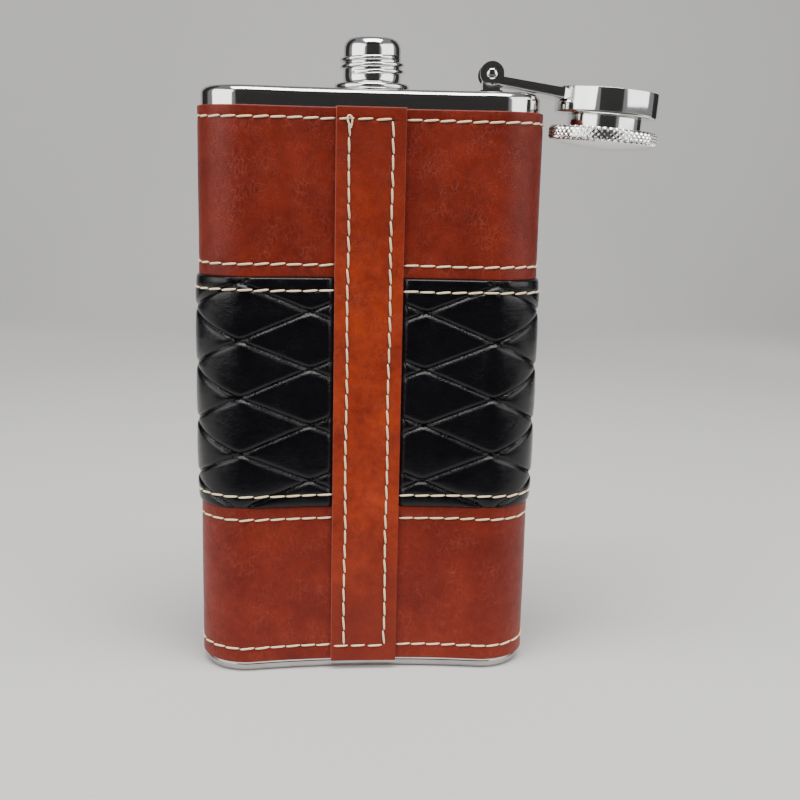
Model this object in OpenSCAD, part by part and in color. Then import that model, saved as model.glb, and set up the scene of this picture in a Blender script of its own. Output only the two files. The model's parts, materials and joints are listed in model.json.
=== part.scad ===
// Hip flask: a bent steel body in a stitched leather wrap, with a threaded neck and a captive,
// hinged screw cap. Drawn with the lid swung fully open and the cap screwed all the way out.
// X runs across the flask, Y from its hollow face (-Y) to its domed face (+Y), Z up.
// The origin is the middle of the face that the flask stands on.

/* [Steel body] */
// Width of the steel body across its two rounded sides
body_w = 88.2; // [76:0.1:110]
// Depth of the steel body, square to its bent middle line
body_d = 23.4; // [20:0.1:32]
// Height of the steel body, without the neck
body_h = 155.4; // [125:0.1:190]
// Radius of the bend that fits the flask to a hip, at the middle line
bend_r = 230; // [150:5:600]
// Thickness of the steel sheet
sheet_t = 0.6; // [0.4:0.1:1]
// Radius of the shoulder around the top plate
shoulder_r = 2; // [1.2:0.1:3]
// Radius of the edge around the base plate
base_edge_r = 1.3; // [1.1:0.1:1.6]
// Height of the rim that the top plate turns down to meet the shell
top_rim_h = 3.2; // [3:0.1:5]
// Height of the rim that the base plate turns up to meet the shell
base_rim_h = 2; // [1.9:0.1:3]
// Depth of the welded groove between the base plate and the shell
seam_groove = 0.25; // [0.1:0.05:0.35]

/* [Leather wrap] */
// Bare steel below the wrap
wrap_below = 2.9; // [2:0.1:10]
// Bare steel above the wrap
wrap_above = 4.9; // [4:0.1:12]
// Height of the black band's lower edge above the base
band_z = 46.6; // [30:0.1:60]
// Height of the black band
band_h = 61.2; // [45:0.1:75]
// Thickness of the backing cloth that everything is sewn to
cloth_t = 0.3; // [0.2:0.05:0.6]
// Thickness of the leather
leather_t = 0.6; // [0.4:0.05:1.2]
// Thickness of the padding under the black band
padding_t = 0.8; // [0.4:0.05:2]
// Gap between the two ends of the wrap, which the strap hides
wrap_slit = 0.4; // [0.2:0.1:1]

/* [Strap] */
// Width of the strap down the hollow face
strap_w = 17.9; // [14:0.1:24]
// Thickness of the strap
strap_t = 1.2; // [0.9:0.1:2]
// Place of the strap's middle across the flask
strap_x = -0.65; // [-4:0.05:4]
// How far each end of the strap stands past the wrap
strap_end = 0.3; // [0:0.1:1]
// Width of leather beside the strap with no padding under it
strap_margin = 1.5; // [0.5:0.1:4]

/* [Stitching] */
// Thickness of the sewing thread
thread_d = 0.7; // [0.4:0.05:1]
// How deep the thread sinks into the leather
thread_sink = 0.3; // [0.1:0.05:0.4]
// Distance of the top row from the wrap's top edge
top_inset = 2.8; // [2:0.1:5]
// Distance of the bottom row from the wrap's bottom edge
bottom_inset = 4.1; // [2:0.1:6]
// Distance of the four middle rows from the band's edges
seam_inset = 3.3; // [2:0.1:5]
// Distance of the strap's two rows from its sides
strap_inset = 3.4; // [2:0.1:5]

/* [Neck] */
// Diameter of the hole that the drink pours through
neck_bore_d = 10; // [8:0.1:11]
// Outer diameter of the plain parts of the neck
neck_d = 15; // [14:0.1:18]
// Height of the neck above the top plate
neck_h = 13.1; // [12:0.1:18]
// Diameter of the flange that is welded to the top plate
flange_d = 19.8; // [18:0.1:22]
// Height of the flange
flange_h = 1.8; // [1:0.1:3]
// How far the lip rounds inwards
lip_in = 2; // [1.5:0.1:2.5]
// How far down the lip's rounding starts
lip_down = 3; // [2:0.1:4]
// Height of a thread ridge off the neck
ridge_h = 1; // [0.8:0.1:1.2]
// Thread pitch
pitch = 1.7; // [1.5:0.1:2.5]
// Height above the top plate at which the thread's ridge starts
thread_z = 4.3; // [3.5:0.1:5]
// How far up the thread's ridge climbs
thread_len = 3.9; // [3.5:0.1:6]

/* [Cap] */
// Outer diameter of the cup that holds the cap
cup_d = 26.9; // [25:0.1:34]
// Height of the cup
cup_h = 6.6; // [6:0.1:9]
// Thickness of the cup's side wall
cup_wall = 0.9; // [0.6:0.1:1.5]
// Thickness of the cup's floor
cup_floor = 1; // [0.8:0.1:1.5]
// Radius of the edge where the cup's side meets its floor
cup_edge_r = 0.8; // [0.4:0.1:0.8]
// Diameter of the knurled head
head_d = 28.4; // [26:0.1:36]
// Thickness of the knurled head at its side
head_h = 3.5; // [3:0.1:6]
// Height of the head's dome
dome_h = 1.8; // [0.5:0.1:4]
// Thickness of the threaded sleeve's wall
sleeve_wall = 1; // [0.9:0.1:1.5]
// How deep the sleeve is pressed into the head
sleeve_press = 0.8; // [0.5:0.1:1.5]
// Thickness of the sealing disc
gasket_t = 1; // [0.8:0.1:1.4]
// Thickness of the ring that keeps the sleeve in the cup
ring_t = 0.8; // [0.6:0.1:1.2]
// How deep the ring sits in the sleeve
ring_groove = 0.45; // [0.3:0.05:0.5]
// How far the ring stands out from the sleeve
ring_out = 1.2; // [0.8:0.1:1.5]
// How far the cap moves out along its thread
cap_travel = 3; // [2.5:0.1:3.5]

/* [Hinge] */
// Distance of the hinge pin in from the side of the steel body
hinge_in = 13.1; // [10:0.1:15]
// Height of the hinge pin above the top plate
pin_h = 4.9; // [4.5:0.1:6]
// Diameter of the hinge pin
pin_d = 2.7; // [2:0.1:3]
// Outer radius of the arm's two ears
ear_r = 3.1; // [2.8:0.1:3.6]
// Radius of the bracket's knuckle between the ears
knuckle_r = 2.7; // [2.4:0.1:3]
// Width of the bracket's knuckle along the pin
knuckle_w = 6.4; // [5:0.1:9]
// Thickness of the bracket's foot
foot_t = 0.8; // [0.5:0.1:1.2]
// How far the bracket's foot reaches past its post, each way
foot_out = 0.6; // [0.3:0.1:1]
// Thickness of the arm's side walls
arm_side_t = 1; // [0.7:0.1:1.5]
// Thickness of the arm's back
arm_back_t = 0.8; // [0.6:0.1:1.2]
// Width of the arm where it meets the cup
arm_cup_w = 12.5; // [10:0.1:16]
// Depth of the arm at the hinge
arm_hinge_depth = 2.2; // [1.8:0.1:2.6]
// Depth of the arm at the cup
arm_cup_depth = 2.8; // [2:0.1:4]
// How far the arm stays off the cup's rim
arm_rim_gap = 0.6; // [0.2:0.1:1.5]

/* [Clearances] */
// Running fit of the pin in the arm, and of the sleeve in the cup, on the radius
running_fit = 0.07; // [0.03:0.01:0.1]
// End play of the ring in its groove and under the cup's floor
end_play = 0.06; // [0.03:0.01:0.1]
// Side gap between the arm's ears and the bracket's knuckle
ear_gap = 0.15; // [0.1:0.05:0.3]
// Gap between the screwed-down head and the cup
head_gap = 0.2; // [0.1:0.05:0.5]
// Gap between the sleeve's bore and the neck's thread, on the radius
bore_gap = 0.2; // [0.15:0.05:0.4]
// How far the screwed-out sleeve stands clear above the neck's thread
thread_gap = 0.3; // [0.2:0.05:0.6]
// Gap between the open arm and the shoulder that stops it
stop_gap = 0.3; // [0.2:0.05:0.5]
// Least gap between the open cap's head and the wrap beside it
side_gap = 1; // [0.5:0.1:1.5]

/* [Hidden] */
$fn = 96;
cut = 1;  // how far a cutter runs past what it cuts
face_steps = 12;  // flats along each wide face of the bent section
end_steps = 20;   // flats around each of its round ends

// the bent middle line: an arc about (0, -bend_r), with a round end at each side
half_d = body_d / 2;
end_x = body_w / 2 - half_d;
end_y = sqrt(bend_r * bend_r - end_x * end_x) - bend_r;
end_angle = asin(end_x / bend_r);

// levels of the wrap, and how far each surface stands off the steel
wrap_z0 = wrap_below;
wrap_z1 = body_h - wrap_above;
band_top = band_z + band_h;
brown_out = cloth_t + leather_t;
black_out = cloth_t + padding_t + leather_t;
strap_out = brown_out + strap_t;
strap_z0 = wrap_z0 - strap_end;
strap_z1 = wrap_z1 + strap_end;
row_top = wrap_z1 - top_inset;
row_upper = band_top + seam_inset;
row_band_top = band_top - seam_inset;
row_band_bottom = band_z + seam_inset;
row_lower = band_z - seam_inset;
row_bottom = wrap_z0 + bottom_inset;
column_x = strap_w / 2 - strap_inset;

// the neck and its thread, with z = 0 on the top plate
neck_r = neck_d / 2;
bore_r = neck_bore_d / 2;
crest_r = neck_r + ridge_h;
thread_turn = 225;  // where the ridge starts around the neck
spigot_wall = 1;  // wall of the neck where it passes through the top plate
spigot_r = bore_r + spigot_wall;
ridge_root_w = 0.9;
ridge_crest_w = 0.4;
thread_top_z = thread_z + thread_len + ridge_root_w / 2;
ridge_steps = 36;  // straight pieces in a turn of thread
ridge_bury = 0.2;  // how far a ridge's foot is sunk into its wall
ridge_fade = 5;    // pieces over which a ridge rises from nothing

// the cap, in its closed and screwed-down place over the neck
sleeve_bore_r = crest_r + bore_gap;
sleeve_r = sleeve_bore_r + sleeve_wall;
inner_crest_r = neck_r + ridge_h / 2;
inner_root_w = 0.8;
inner_crest_w = 0.3;
cup_r = cup_d / 2;
rim_z = neck_h - head_gap - cup_h;
cup_top_z = rim_z + cup_h;
head_z = neck_h;
head_r = head_d / 2;
head_edge = 0.5;
mouth_z = thread_top_z + thread_gap - cap_travel;
ring_z1 = cup_top_z - cup_floor - end_play - cap_travel;
ring_z0 = ring_z1 - ring_t;
ring_in_r = sleeve_r - ring_groove;
screw_turn = 360 * cap_travel / pitch;

// the hinge: the lid's line runs from the neck's axis to the bent middle line beside the pin
hinge_x = body_w / 2 - hinge_in;
lid_yaw = -atan2(bend_r - sqrt(bend_r * bend_r - hinge_x * hinge_x), hinge_x);
pin_r = pin_d / 2;
ear_in = knuckle_w / 2 + ear_gap;
ear_out = ear_in + arm_side_t;
arm_low = 0.2;  // how far the arm's lower edge starts above the pin's middle
arm_hinge_z = pin_h + arm_low;
arm_cup_z = rim_z + arm_rim_gap;
arm_lap = 2;  // how far the arm's end overlaps the cup before the cup's outline is cut from it
arm_cup_x = cup_r - arm_lap;
ear_run = 1;  // how far the arm runs straight beyond its round ears
arm_ear_x = hinge_x - ear_r - ear_run;
post_in = 0.4;  // how far each side of the bracket's post stays in from the knuckle's side
post_w = 2 * (knuckle_r - post_in);
back_gap = 0.5;
back_start = max(knuckle_r, post_w / 2 + foot_out) + back_gap;  // from the pin to the arm's back
pin_end = 0.15;  // how far the pin stands out of each ear
tall = 3 * neck_h;  // taller than anything on the lid

// the lid opens until the arm's back comes down on the shoulder, or the head comes beside the wrap
arm_slope = (arm_cup_z + arm_cup_depth - arm_hinge_z - arm_hinge_depth) / (hinge_x - arm_cup_x);
stop_out = 0.4;  // how far past the edge of the flat top the arm comes down
stop_x = body_w / 2 - shoulder_r + stop_out - hinge_x;
back_z = arm_low + arm_hinge_depth + stop_x * arm_slope;
arm_stop = asin((pin_h - stop_gap) / norm([back_z, stop_x])) - atan2(back_z, stop_x);
head_in = hinge_x - head_r;
head_up = head_z + cap_travel + head_h - pin_h;
wrap_side = body_w / 2 + brown_out + side_gap - hinge_x;
head_stop = acos(wrap_side / norm([head_in, head_up])) - atan2(head_up, head_in);
open_angle = 180 + min(arm_stop, head_stop);

function arc_points(x, y, r, turn0, turn1, steps) = [for (i = [0:steps - 1])
    let (turn = turn0 + (turn1 - turn0) * i / steps) [x + r * cos(turn), y + r * sin(turn)]];

// the bent section's outline, half_t to each side of the middle line
function bent_outline(half_t) = concat(
    arc_points(0, -bend_r, bend_r + half_t, 90 - end_angle, 90 + end_angle, face_steps),
    arc_points(-end_x, end_y, half_t, 90 + end_angle, 270 + end_angle, end_steps),
    arc_points(0, -bend_r, bend_r - half_t, 90 + end_angle, 90 - end_angle, face_steps),
    arc_points(end_x, end_y, half_t, -90 - end_angle, 90 - end_angle, end_steps));

// the section between two distances off the steel
module bent_ring(out0, out1) {
    difference() {
        polygon(bent_outline(half_d + out1));
        polygon(bent_outline(half_d + out0));
    }
}

// a flat outline drawn out between two heights
module from_to(z0, z1) {
    translate([0, 0, z0]) linear_extrude(z1 - z0) children();
}

// a solid on the bent section through levels of [half thickness, z], from the bottom up
module bent_block(levels) {
    count = 2 * (face_steps + end_steps);
    top = count * (len(levels) - 1);
    points = [for (level = levels) each [for (p = bent_outline(level[0])) [p[0], p[1], level[1]]]];
    sides = [for (j = [0:len(levels) - 2], i = [0:count - 1])
        let (next = (i + 1) % count)
        [j * count + i, (j + 1) * count + i, (j + 1) * count + next, j * count + next]];
    ends = [[for (i = [0:count - 1]) i], [for (i = [count - 1:-1:0]) top + i]];
    polyhedron(points, concat(sides, ends));
}

// a quarter turn of rounding that ends at half thickness half_t, from its side to its flat
function rounded_edge(half_t, r) =
    [for (turn = [0:18:90]) [half_t - r + r * cos(turn), r * sin(turn)]];

// a cutter that rounds the outer corner of a revolved outline
module corner_cut(r) {
    difference() {
        square(2 * r);
        circle(r);
    }
}

// the part of the hollow face between two places across the flask
module front_part(out0, out1, x0, x1) {
    intersection() {
        bent_ring(out0, out1);
        translate([x0, -body_d]) square([x1 - x0, body_d]);
    }
}

// the part of the hollow face that the strap covers, and a margin beside it
module strap_part(out0, out1, margin = 0) {
    front_part(out0, out1, strap_x - strap_w / 2 - margin, strap_x + strap_w / 2 + margin);
}

// a sheet of the wrap: all the way round, with its two ends meeting under the strap
module wrap_ring(out0, out1) {
    difference() {
        bent_ring(out0, out1);
        front_part(out0 - cut, out1 + cut, strap_x - wrap_slit / 2, strap_x + wrap_slit / 2);
    }
}

// one row of stitches around the wrap, up to the strap's sides
module thread_row(z, surface_out) {
    from_to(z - thread_d / 2, z + thread_d / 2) difference() {
        bent_ring(surface_out - thread_sink, surface_out - thread_sink + thread_d);
        strap_part(0, strap_out + cut);
    }
}

// stitches on the strap's face
module strap_stitches(x0, x1, z0, z1) {
    from_to(z0, z1)
        front_part(strap_out - thread_sink, strap_out - thread_sink + thread_d, strap_x + x0, strap_x + x1);
}

// a row where it crosses the strap, from the strap's side to its far column
module strap_row(z) {
    strap_stitches(-strap_w / 2, column_x + thread_d / 2, z - thread_d / 2, z + thread_d / 2);
}

function ridge_ring(foot_r, top_r, foot_w, top_w, turn, z) = [
    [foot_r * cos(turn), foot_r * sin(turn), z - foot_w / 2],
    [top_r * cos(turn), top_r * sin(turn), z - top_w / 2],
    [top_r * cos(turn), top_r * sin(turn), z + top_w / 2],
    [foot_r * cos(turn), foot_r * sin(turn), z + foot_w / 2]
];

// a right-hand thread ridge that fades in and out, in step with one that starts at height z0
module ridge(foot_r, top_r, foot_w, top_w, z0, z_from, z_to) {
    count = round((z_to - z_from) / pitch * ridge_steps);
    side = sign(top_r - foot_r);
    low_r = foot_r + side * ridge_bury;
    points = [for (i = [0:count])
        let (z = z_from + (z_to - z_from) * i / count,
             fade = max(0.08, min(1, i / ridge_fade, (count - i) / ridge_fade)))
        each ridge_ring(foot_r, low_r + (top_r - low_r) * fade, foot_w, top_w,
                        thread_turn + 360 * (z - z0) / pitch, z)];
    // the four long sides, each piece as two triangles, then the two ends
    long_sides = [for (i = [0:count - 1], k = [0:3])
        let (a = 4 * i + k, b = 4 * i + (k + 1) % 4, c = b + 4, d = a + 4)
        each side > 0 ? [[a, b, c], [a, c, d]] : [[a, c, b], [a, d, c]]];
    last = 4 * count;
    ends = side > 0 ? [[3, 2, 1, 0], [last, last + 1, last + 2, last + 3]]
                    : [[0, 1, 2, 3], [last + 3, last + 2, last + 1, last]];
    polyhedron(points, concat(long_sides, ends));
}

// the lid's own place: z = 0 on the top plate, X from the neck's axis towards the hinge
module lid_place() {
    rotate([0, 0, lid_yaw]) translate([0, 0, body_h]) children();
}

// swings what is drawn closed over the neck to its fully open place
module swung_open() {
    lid_place() translate([hinge_x, 0, pin_h]) rotate([0, open_angle, 0])
        translate([-hinge_x, 0, -pin_h]) children();
}

// screws what is drawn screwed down all the way out
module screwed_out() {
    swung_open() translate([0, 0, cap_travel]) rotate([0, 0, screw_turn]) children();
}

// ---- steel body ----

module body_shell() {
    color("silver") difference() {
        from_to(base_rim_h, body_h - top_rim_h) bent_ring(-sheet_t, 0);
        from_to(base_rim_h - cut, base_rim_h + seam_groove) bent_ring(-seam_groove, cut);
    }
}

module top_plate() {
    rim_z0 = body_h - top_rim_h;
    shoulder = [for (level = rounded_edge(half_d, shoulder_r)) [level[0], body_h - shoulder_r + level[1]]];
    color("silver") difference() {
        bent_block(concat([[half_d, rim_z0]], shoulder));
        bent_block([[half_d - sheet_t, rim_z0 - cut], [half_d - sheet_t, body_h - shoulder_r],
                    [half_d - shoulder_r, body_h - sheet_t]]);
        from_to(body_h - sheet_t - cut, body_h + cut) circle(spigot_r);
    }
}

module base_plate() {
    edge = rounded_edge(half_d, base_edge_r);
    levels = [for (i = [len(edge) - 1:-1:0]) [edge[i][0], base_edge_r - edge[i][1]]];
    color("silver") difference() {
        bent_block(concat(levels, [[half_d, base_rim_h]]));
        from_to(sheet_t, base_rim_h + cut) polygon(bent_outline(half_d - sheet_t));
    }
}

// the lip's outline, a quarter of an ellipse
function lip_point(t) = [neck_r - lip_in + lip_in * cos(t), neck_h - lip_down + lip_down * sin(t)];

module neck_outline() {
    difference() {
        union() {
            square([neck_r, neck_h - lip_down]);
            polygon(concat([[0, neck_h - lip_down]], [for (t = [0:10:90]) lip_point(t)], [[0, neck_h]]));
            square([flange_d / 2 - flange_h / 2, flange_h]);
            translate([flange_d / 2 - flange_h / 2, flange_h / 2]) circle(flange_h / 2);
            translate([0, -sheet_t]) square([spigot_r, sheet_t]);
        }
        translate([-cut, -sheet_t - cut]) square([bore_r + cut, neck_h + sheet_t + 2 * cut]);
    }
}

module neck_spout() {
    color("silver") translate([0, 0, body_h]) {
        rotate_extrude() neck_outline();
        ridge(neck_r - ridge_bury, crest_r, ridge_root_w, ridge_crest_w, thread_z,
              thread_z, thread_z + thread_len);
    }
}

module hinge_bracket() {
    color("silver") lid_place() translate([hinge_x, 0, 0]) difference() {
        union() {
            translate([0, knuckle_w / 2, pin_h]) rotate([90, 0, 0]) cylinder(h = knuckle_w, r = knuckle_r);
            translate([-post_w / 2, -knuckle_w / 2, 0]) cube([post_w, knuckle_w, pin_h]);
            translate([-post_w / 2 - foot_out, -knuckle_w / 2 - foot_out, 0])
                cube([post_w + 2 * foot_out, knuckle_w + 2 * foot_out, foot_t]);
        }
        translate([0, knuckle_w, pin_h]) rotate([90, 0, 0]) cylinder(h = 2 * knuckle_w, r = pin_r);
    }
}

module hinge_pin() {
    pin_len = 2 * (ear_out + pin_end);
    color("gainsboro") lid_place() translate([hinge_x, pin_len / 2, pin_h]) rotate([90, 0, 0])
        cylinder(h = pin_len, r = pin_r);
}

// ---- leather wrap ----

module backing_cloth() {
    color("tan") from_to(wrap_z0, wrap_z1) wrap_ring(0, cloth_t);
}

module brown_panel(z0, z1, row_low, row_high) {
    color("saddlebrown") difference() {
        from_to(z0, z1) wrap_ring(cloth_t, brown_out);
        thread_row(row_low, brown_out);
        thread_row(row_high, brown_out);
    }
}

module upper_panel() {
    brown_panel(band_top, wrap_z1, row_upper, row_top);
}

module lower_panel() {
    brown_panel(wrap_z0, band_z, row_bottom, row_lower);
}

// the padding's section, which stops short of the strap
module padding_ring(out0) {
    difference() {
        bent_ring(out0, cloth_t + padding_t);
        strap_part(out0 - cut, black_out, strap_margin);
    }
}

module quilt_padding() {
    color("gray") from_to(band_z + leather_t, band_top - leather_t) padding_ring(cloth_t);
}

module quilted_panel() {
    color("black") difference() {
        from_to(band_z, band_top) difference() {
            wrap_ring(cloth_t, black_out);
            strap_part(brown_out, black_out + cut);
        }
        from_to(band_z + leather_t, band_top - leather_t) padding_ring(0);
        thread_row(row_band_bottom, black_out);
        thread_row(row_band_top, black_out);
    }
}

module seam_strap() {
    color("chocolate") difference() {
        from_to(strap_z0, strap_z1) strap_part(brown_out, strap_out);
        strap_row(row_top);
        strap_row(row_bottom);
        strap_columns();
    }
}

// ---- stitching ----

module strap_columns() {
    for (side = [-1, 1])
        strap_stitches(side * column_x - thread_d / 2, side * column_x + thread_d / 2,
                       row_bottom + thread_d / 2, row_top - thread_d / 2);
}

module thread_top() {
    color("wheat") {
        thread_row(row_top, brown_out);
        strap_row(row_top);
    }
}

module thread_upper() {
    color("wheat") thread_row(row_upper, brown_out);
}

module thread_band_top() {
    color("wheat") thread_row(row_band_top, black_out);
}

module thread_band_bottom() {
    color("wheat") thread_row(row_band_bottom, black_out);
}

module thread_lower() {
    color("wheat") thread_row(row_lower, brown_out);
}

module thread_bottom() {
    color("wheat") {
        thread_row(row_bottom, brown_out);
        strap_row(row_bottom);
    }
}

module thread_strap() {
    color("wheat") strap_columns();
}

// ---- lid and cap, drawn closed and screwed down, then opened ----

// the arm's side view: a bar that deepens from the hinge to the cup
module arm_side(low, high) {
    polygon([[hinge_x, arm_hinge_z - low], [hinge_x, arm_hinge_z + arm_hinge_depth - high],
             [arm_cup_x, arm_cup_z + arm_cup_depth - high], [arm_cup_x, arm_cup_z - low]]);
}

// the arm's plan: straight beside the knuckle, then widening to the cup
module arm_plan(inset) {
    hinge_y = ear_out - inset;
    cup_y = arm_cup_w / 2 - inset;
    polygon([[hinge_x + 2 * ear_r, -hinge_y], [arm_ear_x, -hinge_y], [arm_cup_x - cut, -cup_y],
             [arm_cup_x - cut, cup_y], [arm_ear_x, hinge_y], [hinge_x + 2 * ear_r, hinge_y]]);
}

module across_arm() {
    translate([0, arm_cup_w, 0]) rotate([90, 0, 0]) linear_extrude(2 * arm_cup_w) children();
}

module lid_arm() {
    color("silver") swung_open() difference() {
        intersection() {
            across_arm() {
                arm_side(0, 0);
                translate([hinge_x, pin_h]) circle(ear_r);
            }
            linear_extrude(tall) arm_plan(0);
        }
        intersection() {
            across_arm() arm_side(cut, arm_back_t);
            linear_extrude(tall) arm_plan(arm_side_t);
        }
        // between the ears, the arm's back stops clear of the bracket's post
        translate([hinge_x - back_start, -ear_in, 0]) cube([back_start + 2 * ear_r, 2 * ear_in, tall]);
        translate([hinge_x, 2 * ear_out, pin_h]) rotate([90, 0, 0])
            cylinder(h = 4 * ear_out, r = pin_r + running_fit);
        cylinder(h = tall, r = cup_r);
    }
}

module cap_cup() {
    color("silver") swung_open() rotate_extrude() difference() {
        translate([0, rim_z]) square([cup_r, cup_h]);
        translate([cup_r - cup_edge_r, cup_top_z - cup_edge_r]) corner_cut(cup_edge_r);
        translate([-cut, rim_z - cut]) square([cup_r - cup_wall + cut, cup_h - cup_floor + cut]);
        translate([-cut, rim_z]) square([sleeve_r + running_fit + cut, cup_h + cut]);
    }
}

module retaining_ring() {
    color("darkgray") swung_open() translate([0, 0, cap_travel]) rotate_extrude()
        translate([ring_in_r + running_fit, ring_z0]) square([ring_groove + ring_out - running_fit, ring_t]);
}

module sleeve_outline() {
    difference() {
        translate([sleeve_bore_r, mouth_z]) square([sleeve_wall, head_z + sleeve_press - mouth_z]);
        translate([ring_in_r, ring_z0 - end_play]) square([ring_groove + cut, ring_t + 2 * end_play]);
    }
}

module cap_sleeve() {
    color("silver") screwed_out() {
        rotate_extrude() sleeve_outline();
        // half a pitch off the neck's ridge, so that the two mesh
        ridge(sleeve_bore_r + ridge_bury, inner_crest_r, inner_root_w, inner_crest_w, thread_z - pitch / 2,
              mouth_z + inner_root_w, mouth_z + thread_len);
    }
}

module head_outline() {
    dome_r = (head_r * head_r + dome_h * dome_h) / (2 * dome_h);
    top_z = head_z + head_h;
    difference() {
        union() {
            translate([0, head_z]) square([head_r, head_h]);
            intersection() {
                translate([0, top_z + dome_h - dome_r]) circle(dome_r, $fn = 360);
                translate([0, top_z - cut]) square([head_r - head_edge, dome_h + 2 * cut]);
            }
        }
        translate([head_r - head_edge, top_z - head_edge]) corner_cut(head_edge);
        translate([head_r - head_edge, head_z + head_edge]) rotate(-90) corner_cut(head_edge);
        translate([-cut, head_z - cut]) square([sleeve_bore_r + cut, gasket_t + cut]);
        translate([sleeve_bore_r, head_z - cut]) square([sleeve_wall, sleeve_press + cut]);
    }
}

module knurled_head() {
    color("silver") screwed_out() rotate_extrude() intersection() {
        head_outline();
        square([head_r + cut, tall]);
    }
}

module cap_gasket() {
    color("white") screwed_out() translate([0, 0, head_z]) cylinder(h = gasket_t, r = sleeve_bore_r);
}

body_shell();
top_plate();
base_plate();
neck_spout();
hinge_bracket();
hinge_pin();
backing_cloth();
upper_panel();
quilt_padding();
quilted_panel();
lower_panel();
seam_strap();
thread_top();
thread_upper();
thread_band_top();
thread_band_bottom();
thread_lower();
thread_bottom();
thread_strap();
lid_arm();
cap_cup();
retaining_ring();
cap_sleeve();
knurled_head();
cap_gasket();
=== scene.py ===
# %% [markdown]
# # A hip flask in a stitched leather wrap
# A bent steel flask, a leather wrap with a quilted band, and a screw cap that stays on the flask.
# The steel parts have real sizes in the frame, so this lesson lays its surfaces on those sizes.
# Everything is in metres, with the flask standing on z = 0 and its hollow face towards -Y.

import json
import math

import bmesh
import bpy
import numpy as np
from mathutils import Matrix, Vector


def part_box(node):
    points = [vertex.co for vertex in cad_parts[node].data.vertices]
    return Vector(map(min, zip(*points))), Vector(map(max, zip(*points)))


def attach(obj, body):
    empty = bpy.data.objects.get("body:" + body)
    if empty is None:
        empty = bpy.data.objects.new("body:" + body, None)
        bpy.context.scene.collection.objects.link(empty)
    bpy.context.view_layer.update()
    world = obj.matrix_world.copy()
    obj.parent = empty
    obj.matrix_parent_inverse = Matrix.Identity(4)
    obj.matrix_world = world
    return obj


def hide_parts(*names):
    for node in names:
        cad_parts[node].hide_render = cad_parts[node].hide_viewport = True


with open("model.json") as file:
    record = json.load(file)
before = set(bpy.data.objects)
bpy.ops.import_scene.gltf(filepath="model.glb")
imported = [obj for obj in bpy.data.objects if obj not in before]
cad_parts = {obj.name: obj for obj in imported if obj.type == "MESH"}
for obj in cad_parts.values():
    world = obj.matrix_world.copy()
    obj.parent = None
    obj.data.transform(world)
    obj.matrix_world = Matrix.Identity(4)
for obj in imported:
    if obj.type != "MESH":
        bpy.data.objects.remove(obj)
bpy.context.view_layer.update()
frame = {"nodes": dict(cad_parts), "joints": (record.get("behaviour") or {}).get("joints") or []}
joints = {joint["name"]: joint for joint in frame["joints"]}
MM = 0.001

# %% [markdown]
# ## The bent section
# The flask is bent to sit on a hip. Its section is a middle line bent to a 230 mm radius, with the
# same depth all along it and a half-round end at each side. Every layer of the wrap follows that
# section a little further out, so one function gives a point from how far round and how far out.

# %% Walk round the bent section
BEND_R = 230 * MM
HALF_D = 11.7 * MM
END_X = 32.4 * MM
STRAP_X = -0.65 * MM
END_Y = math.sqrt(BEND_R ** 2 - END_X ** 2) - BEND_R
END_TURN = math.asin(END_X / BEND_R)
FRONT_R = BEND_R - HALF_D
BACK_R = BEND_R + HALF_D
START_TURN = math.acos(STRAP_X / FRONT_R)
LENGTHS = [(START_TURN - math.pi / 2 + END_TURN) * FRONT_R, math.pi * HALF_D, 2 * END_TURN * BACK_R,
           math.pi * HALF_D, (math.pi / 2 + END_TURN - START_TURN) * FRONT_R]
STARTS = np.concatenate([[0], np.cumsum(LENGTHS)])
TOTAL = STARTS[-1]


def around(s, out=0.0):
    """Places and outward directions at s along the steel from the strap's middle, `out` off the steel."""
    s = np.mod(np.asarray(s, float), TOTAL)
    part = np.clip(np.searchsorted(STARTS, s, side="right") - 1, 0, 4)
    along = s - STARTS[part]
    right, left, back = part == 1, part == 3, part == 2
    end = right | left
    turn = np.select([part == 0, right, back, left],
                     [START_TURN - along / FRONT_R, -math.pi / 2 - END_TURN + along / HALF_D,
                      math.pi / 2 - END_TURN + along / BACK_R, math.pi / 2 + END_TURN + along / HALF_D],
                     math.pi / 2 + END_TURN - along / FRONT_R)
    side = np.where(end | back, 1.0, -1.0)
    radius = np.where(end, HALF_D + out, BEND_R + side * (HALF_D + out))
    x = np.where(right, END_X, np.where(left, -END_X, 0.0)) + radius * np.cos(turn)
    y = np.where(end, END_Y, -BEND_R) + radius * np.sin(turn)
    return x, y, side * np.cos(turn), side * np.sin(turn)


def surface_length(s, out):
    """Length of surface from the strap's middle to s, `out` off the steel."""
    fine = np.linspace(0, TOTAL, 4001)
    x, y = around(np.append(fine[:-1], TOTAL - 1e-9), out)[:2]
    lengths = np.concatenate([[0], np.cumsum(np.hypot(np.diff(x), np.diff(y)))])
    laps = np.floor(np.asarray(s, float) / TOTAL)
    return laps * lengths[-1] + np.interp(s - laps * TOTAL, fine, lengths)


print("round the steel: %.1f mm" % (TOTAL / MM))

# %% [markdown]
# ## Making pieces
# Each piece is one closed shell with its faces outward. A helper turns grids of points into a piece,
# counts its open edges, hangs it on the moving body it rides on, and hides the frame nodes it stands for.

# %% Helpers that make a piece
def finish_piece(name, points, faces, material, body, nodes, slot, sharp=38, **attributes):
    mesh = bpy.data.meshes.new(name)
    mesh.from_pydata(np.asarray(points, float).tolist(), [], faces)
    for key, values in attributes.items():
        values = np.asarray(values, np.float32)
        if values.ndim == 2:
            mesh.attributes.new(key, "FLOAT_VECTOR", "POINT").data.foreach_set("vector", values.ravel())
        else:
            mesh.attributes.new(key, "FLOAT", "POINT").data.foreach_set("value", values)
    return finish_mesh(name, mesh, material, body, nodes, sharp)


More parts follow.
